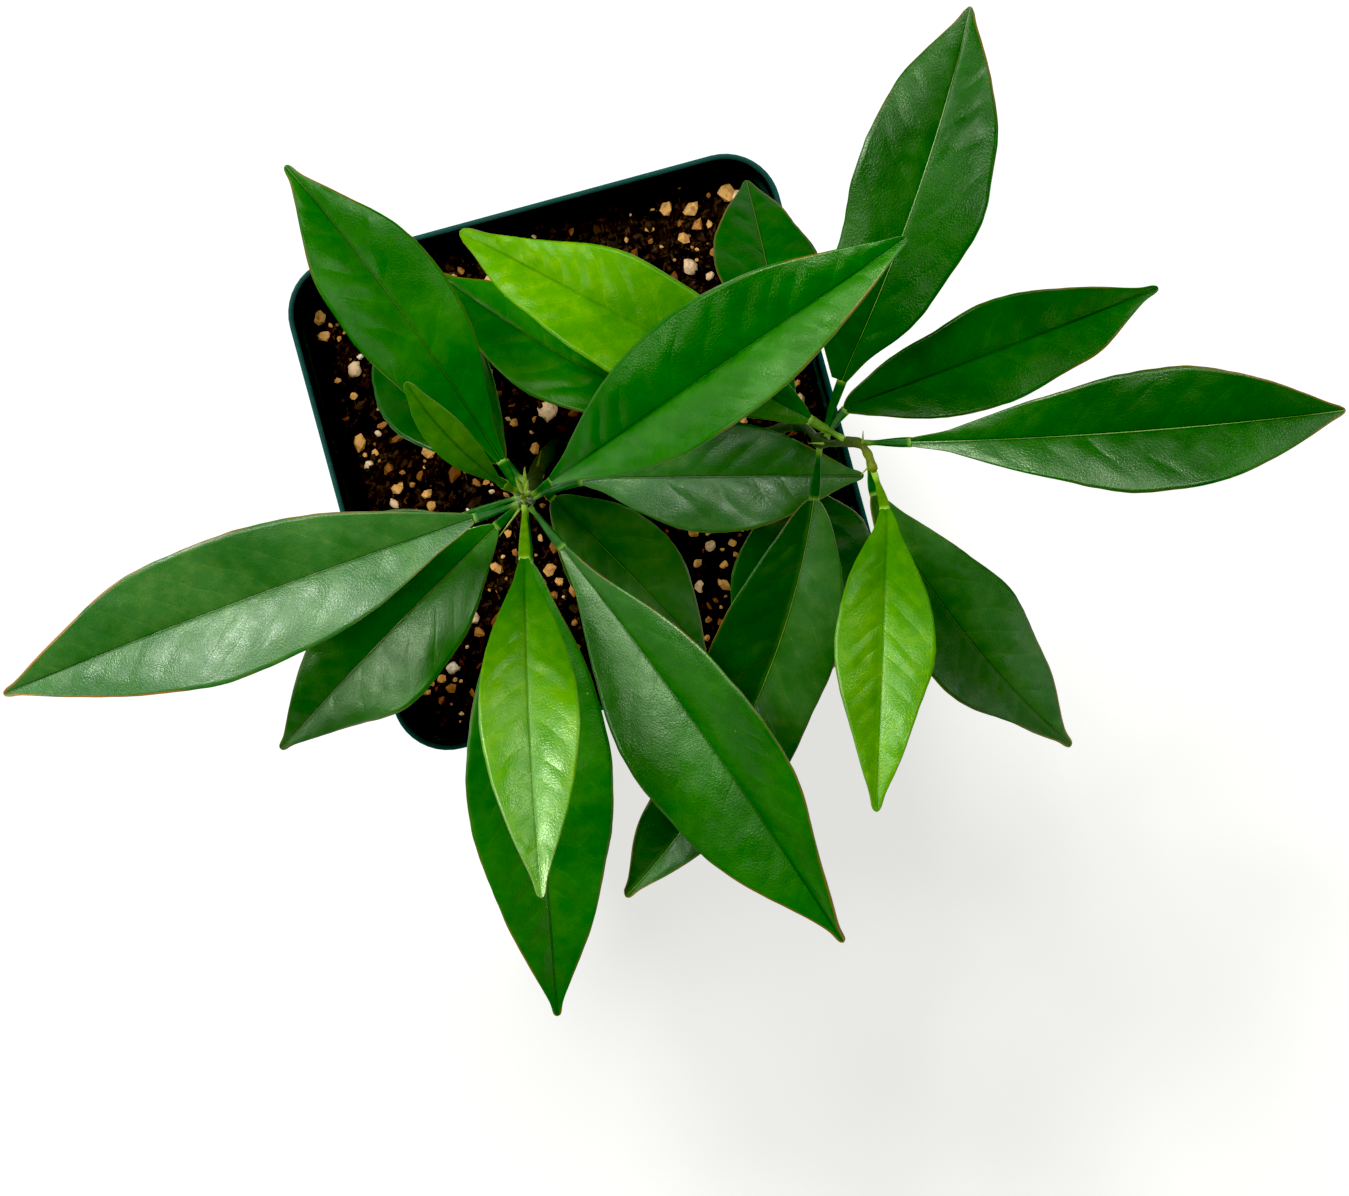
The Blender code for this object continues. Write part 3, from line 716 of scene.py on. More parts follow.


# Leaves. Height is that of the node on its shoot; bearing, swing, turn, rise, fold and roll are in degrees;
# the rest is metres or shares. Bulges: side (-1 left, 1 right), place along the blade, how far out.
# Tone runs from the shade's deep green at 0 to its bright green at 1, and shine scales the gloss.
# Rib and edge say how much the pale midrib and the brown margin show. Pillow is the swelling between veins.
# Right and Base stand for the leaf's right half and its base, where these differ; a tone that differs there
# is painted light and shade as well as the leaf's own colour
leaves = {
    "main_01": dict(height=0.129, bearing=-61, swing=-5, rise=(-19, -37), length=0.0492, petiole=0.0030,
        width=0.0210, widest=0.42, taper=1.00, fold=18, roll=5, shade="glossWithPaintedSheen", tone=0.25, edge=0.2,
        pillow=0.00024),
    "main_02": dict(height=0.134, bearing=114, swing=-13, rise=(-19, -47), length=0.0485, petiole=0.0052,
        width=0.0255, widest=0.49, taper=0.92, fold=27, roll=4, tone=0.12, shine=0.5, pillow=0.00018),
    "main_03": dict(height=0.140, bearing=-170, swing=15, rise=(-9, -34), length=0.0435, petiole=0.0110,
        width=0.0160, widest=0.50, taper=1.05, fold=20, roll=0),
    "main_04": dict(height=0.146, bearing=-151, swing=3, rise=(-16, -34), length=0.0715, petiole=0.0060,
        width=0.0240, widest=0.44, taper=1.07, fold=17, roll=5, bulges=[(-1, 0.58, 0.0014)], tone=0.62,
        shine=1.6, rib=0.5),
    "main_05": dict(height=0.150, bearing=-102.5, swing=1, rise=(-7, -28.5), length=0.099,
        petiole=0.0095, width=0.0275, widest=0.45, taper=1.04, fold=19, roll=3.5,
        bulges=[(1, 0.50, 0.0006)], tone=0.56, rib=0.1, edge=1.0, pillow=0.00030),
    "main_06": dict(height=0.152, bearing=-14.5, swing=0, turn=20, rise=(10, -13.5), length=0.059,
        petiole=0.009, width=0.0200, widest=0.48, taper=1.08, fold=10, roll=-9, shade="glossWithPaintedSheen", tone=0.80,
        rib=0.2, edge=0.5, pillow=0.00026),
    "main_07": dict(height=0.157, bearing=-175, swing=3, rise=(10, -16), length=0.0975, petiole=0.0080,
        width=0.0270, widest=0.48, taper=1.00, fold=25, roll=8, bulges=[(1, 0.70, 0.0010)],
        shade="glossWithPaintedSheen", tone=0.70, rib=0.3, edge=2.0, pillow=0.00018),
    "main_08": dict(height=0.160, bearing=-69.5, swing=-7, rise=(8, -15.5), length=0.0945,
        petiole=0.0090, width=0.0300, widest=0.50, taper=1.17, fold=27, roll=-25,
        bulges=[(-1, 0.78, -0.0012), (1, 0.75, 0.0006)], tone=0.52, toneBase=0.42, shine=0.55,
        shineRight=0.85, shineBase=1.5, rib=0.15, edge=1.0),
    "main_09": dict(height=0.164, bearing=110.5, swing=11, rise=(13, -10), length=0.0695, petiole=0.0066,
        width=0.0206, widest=0.51, taper=1.10, fold=19, roll=0,
        bulges=[(-1, 0.73, 0.0008), (1, 0.86, -0.0004)], tone=0.55, toneBase=0.28, shine=0.28,
        shineBase=0.05, rib=0.2, pillow=0.00030),
    "main_10": dict(height=0.167, bearing=17, swing=3, rise=(53, 15), length=0.0875, petiole=0.0062,
        width=0.0240, widest=0.53, taper=0.95, fold=29, roll=11, shade="mid", tone=0.0, toneRight=0.45,
        rib=0.0, pillow=0.00030),
    "main_11": dict(height=0.1715, bearing=-101.5, swing=4, rise=(38, 12), length=0.0706, petiole=0.0110,
        stalkWidth=0.0010, width=0.0175, widest=0.50, taper=1.05, fold=21, roll=5, shade="young",
        tone=0.95, toneBase=0.0, shine=1.8, shineBase=0.3, rib=0.0),
    "main_12": dict(height=0.173, bearing=120, swing=-27, rise=(63, 38), length=0.0365, petiole=0.004,
        width=0.0068, widest=0.58, taper=0.85, fold=19, roll=9, shade="young", tone=0.50, toneBase=0.15,
        shine=0.25, rib=0.0, edge=0.0),
    "side_01": dict(height=0.141, bearing=137.5, swing=-25, rise=(7, -16), length=0.0645, petiole=0.0115,
        width=0.0205, widest=0.51, taper=1.09, fold=26, roll=-4, tone=0.75, toneRight=1.0, toneBase=0.25,
        shine=0.6, shineRight=0.08, pillow=0.00045),
    "side_02": dict(height=0.147, bearing=-93, swing=3, rise=(-33, -51), length=0.0600, petiole=0.0090,
        width=0.0295, widest=0.46, taper=1.02, fold=15, roll=-1, bulges=[(-1, 0.15, 0.0030)]),
    "side_03": dict(height=0.156, bearing=85, swing=3, rise=(-22, -44), length=0.0553, petiole=0.0105,
        width=0.0198, widest=0.49, taper=1.06, fold=16, roll=-8, bulges=[(1, 0.67, -0.0012)], shine=0.4),
    "side_04": dict(height=0.169, bearing=-128.0, swing=-39, rise=(-27, -27), length=0.1000,
        petiole=0.0093, width=0.0245, widest=0.41, taper=1.00, fold=20, roll=1,
        bulges=[(-1, 0.42, -0.0016), (1, 0.84, 0.0027)], shade="glossWithPaintedSheen", tone=0.50, toneRight=0.0,
        rib=1.1, edge=0.5, pillow=0.00040),
    "side_05": dict(height=0.1695, bearing=54.9, swing=14, turn=8, rise=(17, -9.5), length=0.0768,
        petiole=0.0098, width=0.0245, widest=0.52, taper=1.00, fold=27, roll=6,
        bulges=[(-1, 0.14, 0.0050), (1, 0.20, 0.0018), (1, 0.45, 0.0013), (1, 0.70, 0.0008),
                (-1, 0.78, 0.0010)],
        tone=0.25, toneRight=0.20, shine=1.3, shineRight=0.38, shineBase=0.12, rib=1.0, pillow=0.00034),
    "side_06": dict(height=0.170, bearing=6.0, swing=3, turn=38, rise=(-6, -16), length=0.0663,
        petiole=0.0057, width=0.0200, widest=0.43, taper=1.04, fold=27, roll=-4,
        bulges=[(-1, 0.30, -0.0014), (1, 0.75, 0.0011)], tone=0.22, shine=0.5, rib=0.1),
    "side_07": dict(height=0.1785, bearing=-11.5, swing=8, rise=(18, -10), length=0.080, petiole=0.0076,
        width=0.0223, widest=0.56, taper=0.97, fold=25, roll=-2,
        bulges=[(-1, 0.36, -0.0006), (1, 0.30, -0.0004)], rib=1.0, pillow=0.00018),
    "side_08": dict(height=0.1765, bearing=136, swing=0, rise=(6, -16.5), length=0.0745, petiole=0.0064,
        width=0.0210, widest=0.46, taper=0.97, fold=26, roll=0, tip=0.0012,
        bulges=[(-1, 0.84, 0.0014), (1, 0.62, 0.0010), (1, 0.80, -0.0006)], shade="young", tone=0.85,
        toneBase=0.05, shine=0.45, rib=0.0, pillow=0.00034),
    "side_09": dict(height=0.183, bearing=-65.4, swing=23, turn=-20, rise=(-19, -34), length=0.0695,
        petiole=0.0055, width=0.0200, widest=0.46, taper=1.10, fold=16, roll=9,
        bulges=[(1, 0.76, -0.0010), (-1, 0.46, 0.0008), (-1, 0.62, 0.0008), (-1, 0.78, 0.0013)],
        shade="glossWithPaintedSheen", tone=0.36, toneRight=0.15, shine=0.6, rib=0.2, edge=0.4, pillow=0.00030),
    "side_10": dict(height=0.187, bearing=-108.1, swing=1, turn=19, rise=(31, -3.5), length=0.0569,
        petiole=0.0066, width=0.0175, widest=0.48, taper=1.07, fold=17, roll=13,
        bulges=[(-1, 0.70, -0.0009), (1, 0.76, -0.0007)], shade="young", tone=1.0, toneRight=0.6,
        toneBase=0.5, shine=1.25, shineBase=0.3, rib=0.0),
}

# What a leaf has where its own lines give nothing else; the usual pillow is its shade's
usualLeaf = {"turn": 0, "bulges": (), "stalkWidth": 0.00086, "tip": 0.00080, "shade": "dark", "tone": 0.25,
             "shine": 1.0, "rib": 0.4, "edge": 0.7}

# Veins and pillows by shade, and the greens
leafShades = {
    "dark": {
        "slot": "leaf_dark", "veinSpacing": 0.0072, "pillow": 0.00014, "veinShow": 0.40, "paintedCreaseShade": 0.85,
        "roughness": 0.35, "specular": 0.50, "tint": (0.82, 1.0, 0.68), "deep": (0.0003, 0.030, 0.0002),
        "bright": (0.0120, 0.140, 0.0010), "under": (0.060, 0.150, 0.050), "stalk": (0.002, 0.056, 0.001),
        "pale": (0.16, 0.32, 0.04), "edge": (0.095, 0.052, 0.006)},
    "mid": {
        "slot": "leaf_mid", "veinSpacing": 0.0064, "pillow": 0.00012, "veinShow": 0.24, "paintedCreaseShade": 0.55,
        "roughness": 0.35, "specular": 0.50, "tint": (0.76, 1.0, 0.50), "deep": (0.0010, 0.070, 0.0003),
        "bright": (0.0110, 0.130, 0.0005), "under": (0.080, 0.200, 0.050), "stalk": (0.003, 0.066, 0.001),
        "pale": (0.18, 0.34, 0.04), "edge": (0.120, 0.060, 0.004)},
    "young": {
        "slot": "leaf_young", "veinSpacing": 0.0047, "pillow": 0.00018, "veinShow": 0.32, "paintedCreaseShade": 0.35,
        "roughness": 0.33, "specular": 0.42, "tint": (0.80, 1.0, 0.62), "deep": (0.0080, 0.078, 0.0002),
        "bright": (0.0560, 0.225, 0.0002), "under": (0.140, 0.300, 0.050), "stalk": (0.045, 0.120, 0.002),
        "pale": (0.22, 0.40, 0.04), "edge": (0.060, 0.110, 0.004)},
}
# Leaves whose deep and bright greens carry a greyish veil of painted sheen, as on halves facing the light
leafShades["glossWithPaintedSheen"] = {
    **leafShades["dark"], "deep": (0.0050, 0.042, 0.0020), "bright": (0.0340, 0.152, 0.0240),
    "tint": (0.93, 1.0, 0.90), "edge": (0.190, 0.090, 0.012)}
leafFinish = {"cells": 1700, "grain": 3200, "veinCut": 0.000022, "ribHeight": 0.00006, "quilt": 0.00009,
              "clouds": ((0.75, 0.84, 0.75), (1.45, 1.16, 1.3)), "drops": (0.30, 0.36, 0.12)}

bladeForm = {
    "routeSteps": 160,
    "rows": 130,
    "columns": 36,
    "crowding": 1.35,        # columns lie closer together towards the midrib
    "endRows": 0.65,         # and rows towards both ends
    "thickness": 0.00040,
    "base": 0.00080,         # half width where the blade starts at the joint
    "baseLength": 0.10,
    "tipLength": 1.4,        # of the blunt tip, for each half width of it
    "tipBlend": 2.5,
    "bulgeLength": 0.12,
    "arch": 0.12,
    "wave": 0.045,
    "waveCycles": 2.4,
    "waveStep": 1.9,         # from one leaf to the next
    "waveSidePhase": 1.2,
    "veinLean": 0.70,        # how far a vein runs forward for each step outwards
    "veinSweep": 30.0,       # and how it curves towards the tip, per metre
    "veinWander": 0.55,
    "veinStart": (0.6, 1.05),    # the phase of the veins at the blade's foot, left and right
    "ribClear": 0.0022,      # the pillows start this far from the midrib
    "marginClear": 0.38,     # and die away over this share of the half width
    "endsClear": (0.15, 0.12),
    "groove": 0.00006,
    "grooveWidth": 0.00030,
    "unevenness": (75, 0.00036),     # per metre, and how high
    "dimple": (230, 0.00012),
    "edgeWander": (7, 0.035),
    "edgeTeeth": (31, 0.010),
    "halves": 0.0012,        # over this width the looks of the two halves meet
    "baseLook": 0.75,        # and over this share of the blade those of its base and its tip
    "brown": (0.2, 0.45, 0.40),  # the margin's brown at the base, from where it deepens, and over how much
}
stalkForm = {
    "around": 14,
    "clear": (0.0005, 0.00075),  # how far off the bark a level stalk starts, and how much farther a steep one
    "rowsIn": 4,             # buried in the stem
    "rowsStalk": 20,
    "rowsKeel": 40,
    "buried": 0.0014,
    "halfWidth": 0.00034,    # where the stalk starts; stalkWidth is its half width at the joint
    "halfHeight": 0.00034,
    "joint": 0.00010,        # swelling where the stalk meets the blade
    "jointLength": 0.0003,
    "notch": 0.00010,        # waist just past the joint
    "notchAt": 0.0007,
    "foot": 0.00020,
    "footLength": 0.0009,
    "channel": 0.00016,      # along the stalk's top
    "flatten": 0.0016,       # over this length past the joint the stalk sinks under the blade
    "keel": (0.00042, 0.00010),  # half its size at the joint and at the tip
    "glow": (0.00034, 0.0010),   # how far the joint and the foot are pale
}


def leafRoute(leaf, steps):
    # points along the stalk and midrib, each with the blade's side, up and way ahead there
    clear = stalkForm["clear"][0] + stalkForm["clear"][1] * abs(math.sin(math.radians(leaf["rise"][0])))
    turn = leaf["turn"]
    point = besideShoot(leaf["shoot"], leaf["height"], leaf["bearing"] - leaf["swing"] / 2 + turn, clear)
    route = []
    for place in range(steps + 1):
        share = place / steps
        pastTurn = share * leaf["length"] / leaf["petiole"] - 0.5
        bearing = leaf["bearing"] + leaf["swing"] * (share - 0.5) + turn * min(max(1 - pastTurn, 0), 1)
        ahead = heading(bearing, between(leaf["rise"], share))
        side = Vector((math.sin(math.radians(bearing)), -math.cos(math.radians(bearing)), 0))
        up = side.cross(ahead)
        roll = math.radians(leaf["roll"]) * smoothStep(pastTurn)
        route.append((point, side * math.cos(roll) + up * math.sin(roll),
                      up * math.cos(roll) - side * math.sin(roll), ahead))
        point = point + ahead * leaf["length"] / steps
    return route


def routeAt(route, share):
    # the route's point and directions at a share of the leaf's length
    place = min(max(share, 0), 1) * (len(route) - 1)
    low = min(int(place), len(route) - 2)
    return [a.lerp(b, place - low) for a, b in zip(route[low], route[low + 1])]


def bladeHalf(leaf, along, right):
    form = bladeForm
    skew = math.log(0.5) / math.log(leaf["widest"])
    half = leaf["width"] / 2 * max(math.sin(math.pi * along ** skew), 0) ** leaf["taper"]
    seed = leaf["seed"] + (2.5 if right else 0)
    for (cycles, size), level in ((form["edgeWander"], 0), (form["edgeTeeth"], 4)):
        half *= 1 + size * noise.noise(Vector((along * cycles, seed, level)))
    for side, place, out in leaf["bulges"]:
        if (side > 0) == right:
            half += out * hump(along - place, form["bulgeLength"])
    # a blunt, rounded tip
    capLength = form["tipLength"] * leaf["tip"] / leaf["blade"]
    past = (along - 1 + capLength) / capLength
    cap = math.sqrt(max(1 - past * past, 0)) if past > 0 else hump(past, form["tipBlend"])
    half = math.hypot(half * (1 - smoothStep(past)), leaf["tip"] * cap)
    return half + form["base"] * (1 - smoothStep(along / form["baseLength"]))


def veinPhase(leaf, along, distance, right):
    # whole numbers lie on the side veins
    form = bladeForm
    forward = distance * form["veinLean"] + distance * distance * form["veinSweep"]
    seed = leaf["seed"] + (5 if right else 0)
    phase = (along * leaf["blade"] - forward) / leaf["look"]["veinSpacing"] + form["veinStart"][0]
    phase += form["veinWander"] * noise.noise(Vector((phase * 0.55, seed, 0)))
    phase += 0.30 * form["veinWander"] * noise.noise(Vector((phase * 1.1, distance * 330, seed)))
    return phase + (form["veinStart"][1] - form["veinStart"][0] if right else 0)


def leafValue(leaf, key, along, across):
    # a leaf's tone or shine, which may differ near its base and on its right half; a tone that differs there
    # is partly painted light and shade
    value = leaf[key]
    value = between((value, leaf.get(key + "Right", value)), smoothStep(across / bladeForm["halves"]))
    return between((value, leaf.get(key + "Base", value)), 1 - smoothStep(along / bladeForm["baseLook"]))


def makeBlade(leaf, route):
    form, look = bladeForm, leaf["look"]
    petioleShare = leaf["petiole"] / leaf["length"]
    spread = math.cos(math.radians(leaf["fold"]))
    raised = math.sin(math.radians(leaf["fold"]))
    leastBrown, brownFrom, brownOver = form["brown"]
    places, tones, casts = [], [], []

    def placeAt(across, along):
        u = 2 * across - 1
        u = math.copysign(abs(u) ** form["crowding"], u)
        along += form["endRows"] * (0.5 - 0.5 * math.cos(math.pi * along) - along)
        right = u > 0
        half = bladeHalf(leaf, along, right)
        distance = abs(u) * half
        point, side, up, ahead = routeAt(route, petioleShare + along * (1 - petioleShare))
        phase = veinPhase(leaf, along, distance, right)
        pillow = abs(math.sin(math.pi * phase))
        inside = (smoothStep(distance / form["ribClear"])
                  * (1 - smoothStep((abs(u) - 1 + form["marginClear"]) / form["marginClear"])))
        ends = smoothStep(along / form["endsClear"][0]) * smoothStep((1 - along) / form["endsClear"][1])
        wavePhase = form["waveStep"] * leaf["index"] + (form["waveSidePhase"] if right else 0)
        wave = form["wave"] * u * u * math.sin(math.tau * form["waveCycles"] * along + wavePhase)
        lift = half * (raised * abs(u) - form["arch"] * u * u + wave)
        # some pillows stand higher than others
        strength = 0.6 + 0.8 * noise.noise(Vector((phase * 0.9, distance * 120, leaf["seed"] + 9)))
        lift += leaf.get("pillow", look["pillow"]) * pillow * inside * ends * strength
        lift -= form["groove"] * hump(distance, form["grooveWidth"]) * ends
        spot = Vector((u * half, along * leaf["length"], leaf["seed"]))
        for (perMetre, high), share in ((form["unevenness"], abs(u)), (form["dimple"], inside)):
            lift += high * share * noise.noise(spot * perMetre) * ends
        places.append((phase, distance * 1000, (half - distance) * 1000))
        # sheen, pale midrib and brown margin; the margin browns towards the tip
        casts.append((leafValue(leaf, "shine", along, u * half), leaf["rib"],
                      leaf["edge"] * (leastBrown + smoothStep((along - brownFrom) / brownOver))))
        # the tone holds painted light and shade: one half or the base lighter or darker as light falls on it
        tones.append(leafValue(leaf, "tone", along, u * half))
        return point + side * (u * half * spread) + up * lift

    blade = shapedGrid("blade", form["columns"], form["rows"], placeAt)
    addAttribute(blade, "leafPlace", places)
    addAttribute(blade, "leafToneWithPaintedLight", tones)
    addAttribute(blade, "leafCast", casts)
    for part in ("leafTop", "leafUnder", "leafEdge"):
        blade.data.materials.append(leafMaterials[leaf["shade"]][part])
    applyModifier(blade, "SOLIDIFY", thickness=form["thickness"], offset=0.0,
                  material_offset=1, material_offset_rim=2)
    return blade


def makeStalk(leaf, route):
    # one tapering body: the winged stalk, its joint and the keel under the blade
    form = stalkForm
    total = form["rowsIn"] + form["rowsStalk"] + form["rowsKeel"]
    petiole, length = leaf["petiole"], leaf["length"]
    paleness = []

    def distanceAt(row):
        row -= form["rowsIn"]
        if row <= 0:
            return form["buried"] * row / form["rowsIn"]
        if row <= form["rowsStalk"]:
            return petiole * row / form["rowsStalk"]
        return between((petiole, length), ((row - form["rowsStalk"]) / form["rowsKeel"]) ** 1.4)

    def placeAt(across, along):
        row = round(along * total)
        distance = distanceAt(row)
        point, side, up, ahead = routeAt(route, distance / length)
        point = point + ahead * min(distance, 0)
        outside = max(distance, 0)
        pastJoint = distance - petiole
        joint = form["joint"] * hump(pastJoint, form["jointLength"])
        notch = form["notch"] * hump(pastJoint - form["notchAt"], form["jointLength"])
        foot = form["foot"] * hump(outside, form["footLength"])
        wing = smoothStep(min(outside / petiole, 1) * 1.1) ** 0.8
        keel = between(form["keel"], (max(pastJoint, 0) / (length - petiole)) ** 0.6)
        flat = smoothStep((pastJoint + 0.0004) / form["flatten"])
        halfWidth = between((form["halfWidth"], leaf["stalkWidth"]), wing) + joint + foot - notch
        halfWidth = between((halfWidth, keel), flat)
        halfHeight = between((form["halfHeight"] + joint + foot, keel), flat)
        drop = (keel + 0.00005) * flat
        if row in (0, total):
            halfWidth = halfHeight = 0
        angle = -math.tau * across
        channel = form["channel"] * max(math.sin(angle), 0) ** 3 * (1 - abs(math.cos(angle))) * (1 - flat)
        jointGlow, footGlow = hump(pastJoint + 0.0001, form["glow"][0]), hump(outside, form["glow"][1])
        paleness.append(min(jointGlow + 0.85 * footGlow + 0.15 * flat, 1))
        return (point + side * (halfWidth * math.cos(angle))
                + up * (halfHeight * math.sin(angle) - drop - channel))

    stalk = shapedGrid("stalk", form["around"], total, placeAt)
    addAttribute(stalk, "paleness", paleness)
    stalk.data.materials.append(leafMaterials[leaf["shade"]]["leafStalk"])
    mergeCorners(stalk)
    return stalk


def veinLines(mix, phase, fromEdge, width):
    # how far off the nearest vein lies, in shares of their spacing, and the vein itself, short of the margin
    nearVein = calc(mix, "FRACT", calc(mix, "ADD", phase, 0.5))
    nearVein = calc(mix, "ABSOLUTE", calc(mix, "SUBTRACT", nearVein, 0.5))
    short = fade(mix, fromEdge, 0.8, 4.0)
    return nearVein, short, times(mix, fade(mix, nearVein, 0.3 * width, width, 1, 0), short)


def leafNet(mix):
    # the fine net between the veins: its cells, and its threads
    net = fade(mix, cellsOf(mix, leafFinish["cells"]), 0.0, 0.22)
    return net, calc(mix, "SUBTRACT", 1.0, net)


def makeLeafTop(name, shade):
    mix = startMix(name, None)
    phase, fromRib, fromEdge = apart(mix, attribute(mix, "leafPlace", "Vector"))
    shine, ribShow, brown = apart(mix, attribute(mix, "leafCast", "Vector"))
    # the leaf's greens, with painted light and shade on some halves and bases
    mix["body"] = blend(mix, attribute(mix, "leafToneWithPaintedLight"), rgba(shade["deep"]), rgba(shade["bright"]))
    # clouds of lighter and darker green, large and small
    darker, lighter = leafFinish["clouds"]
    tint(mix, blend(mix, fade(mix, noiseOf(mix, 55, 3), 0.35, 0.65), rgba(darker), rgba(lighter)), 1.0)
    tint(mix, rgba((1.8, 1.22, 1.3)), fade(mix, noiseOf(mix, 420, 3, 0.6), 0.40, 0.70), 0.7)
    net, threads = leafNet(mix)
    tint(mix, rgba((1.5, 1.3, 1.4)), threads, 0.25)
    nearVein, short, vein = veinLines(mix, phase, fromEdge, 0.055)
    tint(mix, rgba((1.5, 1.25, 1.3)), vein, shade["veinShow"])
    # midrib: painted shade darkens the groove along it, with a thin lighter line of its own colour in it
    tint(mix, rgba((0.25, 0.36, 0.3)), fade(mix, fromRib, 0.26, 0.40, 1, 0),
         fade(mix, fromRib, 0.06, 0.18, 0.4, 1), shade["paintedCreaseShade"])
    lay(mix, rgba(shade["pale"], 0.75), fade(mix, fromRib, 0.11, 0.20, 1, 0), ribShow)
    # thin brown margin, worn through in places
    lay(mix, rgba(shade["edge"], 1.5), fade(mix, fromEdge, 0.14, 0.44, 1, 0),
        fade(mix, noiseOf(mix, 60, 3), 0.40, 0.58), brown)
    # a few pale specks of dried water
    lay(mix, rgba(leafFinish["drops"]), specksOf(mix, 300, (0.03, 0.06)),
        fade(mix, noiseOf(mix, 120, 1), 0.64, 0.67), 0.5)
    cut = times(mix, fade(mix, nearVein, 0.0, 0.13, 1, 0), short,
                fade(mix, noiseOf(mix, 130, 1), 0.35, 0.60, 0.2))
    addBump(mix, calc(mix, "SUBTRACT", 1.0, cut), leafFinish["veinCut"])
    addBump(mix, fade(mix, fromRib, 0.02, 0.24, 1, 0), leafFinish["ribHeight"])
    addBump(mix, noiseOf(mix, 400, 3, 0.5), leafFinish["quilt"], 0.8)
    addBump(mix, net, 0.00002, 0.6)
    addBump(mix, noiseOf(mix, leafFinish["grain"], 3), 0.000012, 0.7)
    rough = fade(mix, noiseOf(mix, 240, 4), 0.3, 0.7, shade["roughness"] - 0.04, shade["roughness"] + 0.08)
    return finishMix(mix, {"Roughness": rough, "Specular IOR Level": times(mix, shine, shade["specular"]),
                           "Specular Tint": rgba(shade["tint"])})


def makeLeafUnder(name, shade):
    mix = startMix(name, rgba(shade["under"]))
    phase, fromRib, fromEdge = apart(mix, attribute(mix, "leafPlace", "Vector"))
    lay(mix, rgba(shade["under"], 0.72), fade(mix, noiseOf(mix, 90, 3), 0.3, 0.7))
    nearVein, short, vein = veinLines(mix, phase, fromEdge, 0.08)
    lay(mix, rgba(shade["pale"]), vein, 0.6)
    net, threads = leafNet(mix)
    lay(mix, rgba(shade["pale"]), threads, 0.3)
    addBump(mix, net, 0.00004, 0.6)
    addBump(mix, fade(mix, nearVein, 0.0, 0.12, 1, 0), 0.00015, 0.7)
    return finishMix(mix, {"Roughness": 0.55})


def makeLeafStalk(name, shade):
    mix = startMix(name, rgba(shade["stalk"]))
    streaks = fade(mix, noiseOf(mix, 800, 3), 0.3, 0.7)
    lay(mix, rgba(shade["stalk"], 1.5), streaks)
    lay(mix, rgba(shade["pale"]), attribute(mix, "paleness"))
    addBump(mix, streaks, 0.00005, 0.5)
    return finishMix(mix, {"Roughness": 0.42, "Specular IOR Level": 0.25,
                           "Specular Tint": rgba(shade["tint"])})


def makeLeafEdge(name, shade):
    mix = startMix(name, rgba(shade["bright"]))
    lay(mix, rgba(shade["edge"]), fade(mix, noiseOf(mix, 60, 3), 0.44, 0.60))
    return finishMix(mix, {"Roughness": 0.45})


leafCoats = {"leafTop": makeLeafTop, "leafUnder": makeLeafUnder, "leafEdge": makeLeafEdge,
             "leafStalk": makeLeafStalk}
leafMaterials = {shadeName: {part: makeCoat(part + "_" + shadeName, shade)
                             for part, makeCoat in leafCoats.items()}
                 for shadeName, shade in leafShades.items()}

for index, (leafName, ownValues) in enumerate(leaves.items()):
    leaf = {**usualLeaf, **ownValues, "index": index, "seed": index * 7.3 + 1.7}
    leaf["blade"] = leaf["length"] - leaf["petiole"]
    leaf["look"] = leafShades[leaf["shade"]]
    leaf["shoot"] = shoots[leafName.split("_")[0]]
    route = leafRoute(leaf, bladeForm["routeSteps"])
    piece = joinPieces([makeBlade(leaf, route), makeStalk(leaf, route)], "kumquatLeaf_" + leafName)
    bpy.ops.object.shade_smooth()
    finish(piece, leaf["look"]["slot"], "leaf_" + leafName)
print("leaves made:", len(leaves))


# Stem: both shoots with their nodes, thorns and the bud at the top of the main shoot
stemForm = {
    "around": 20,
    "nodeSwell": 0.00020,
    "nodeLength": 0.0013,
    "cushion": 0.00055,      # shelf under each leaf
    "cushionDrop": 0.0010,
    "cushionLength": 0.0011,
    "ridge": 0.00006,        # runs down from each leaf's foot
    "ridgeLength": 0.012,
    "bark": (900, 0.00009),  # how fine its grain is, and how high
    "barkSpread": (0.003, 0.5),  # the grain's place around and along the shoot
    "youngTop": 2.5,         # the higher, the shorter the young green stretch at the top
}
# Thorns: shoot, height of the node, bearing, rise, length. Those above youngAbove are green
thorns = [
    ("main", 0.125, 60, 25, 0.0040), ("main", 0.1560, -141, 6, 0.0068), ("main", 0.1565, -60, 5, 0.0042),
    ("side", 0.124, -70, 35, 0.0040), ("side", 0.1715, 165, 10, 0.0028), ("side", 0.1800, 75, 30, 0.0025),
    ("side", 0.186, -150, 10, 0.0022),
]
spikeForm = {"taper": 0.85, "brownFrom": 0.62, "brownOver": 0.3}
thornForm = {**spikeForm, "radii": (0.00034, 0.00005), "bulge": 0.0, "flatness": 1.0, "bend": 0.12,
             "around": 9, "rows": 10, "brown": 0.4, "sink": 0.0008, "youngAbove": 0.15, "ages": (0.2, -0.3)}
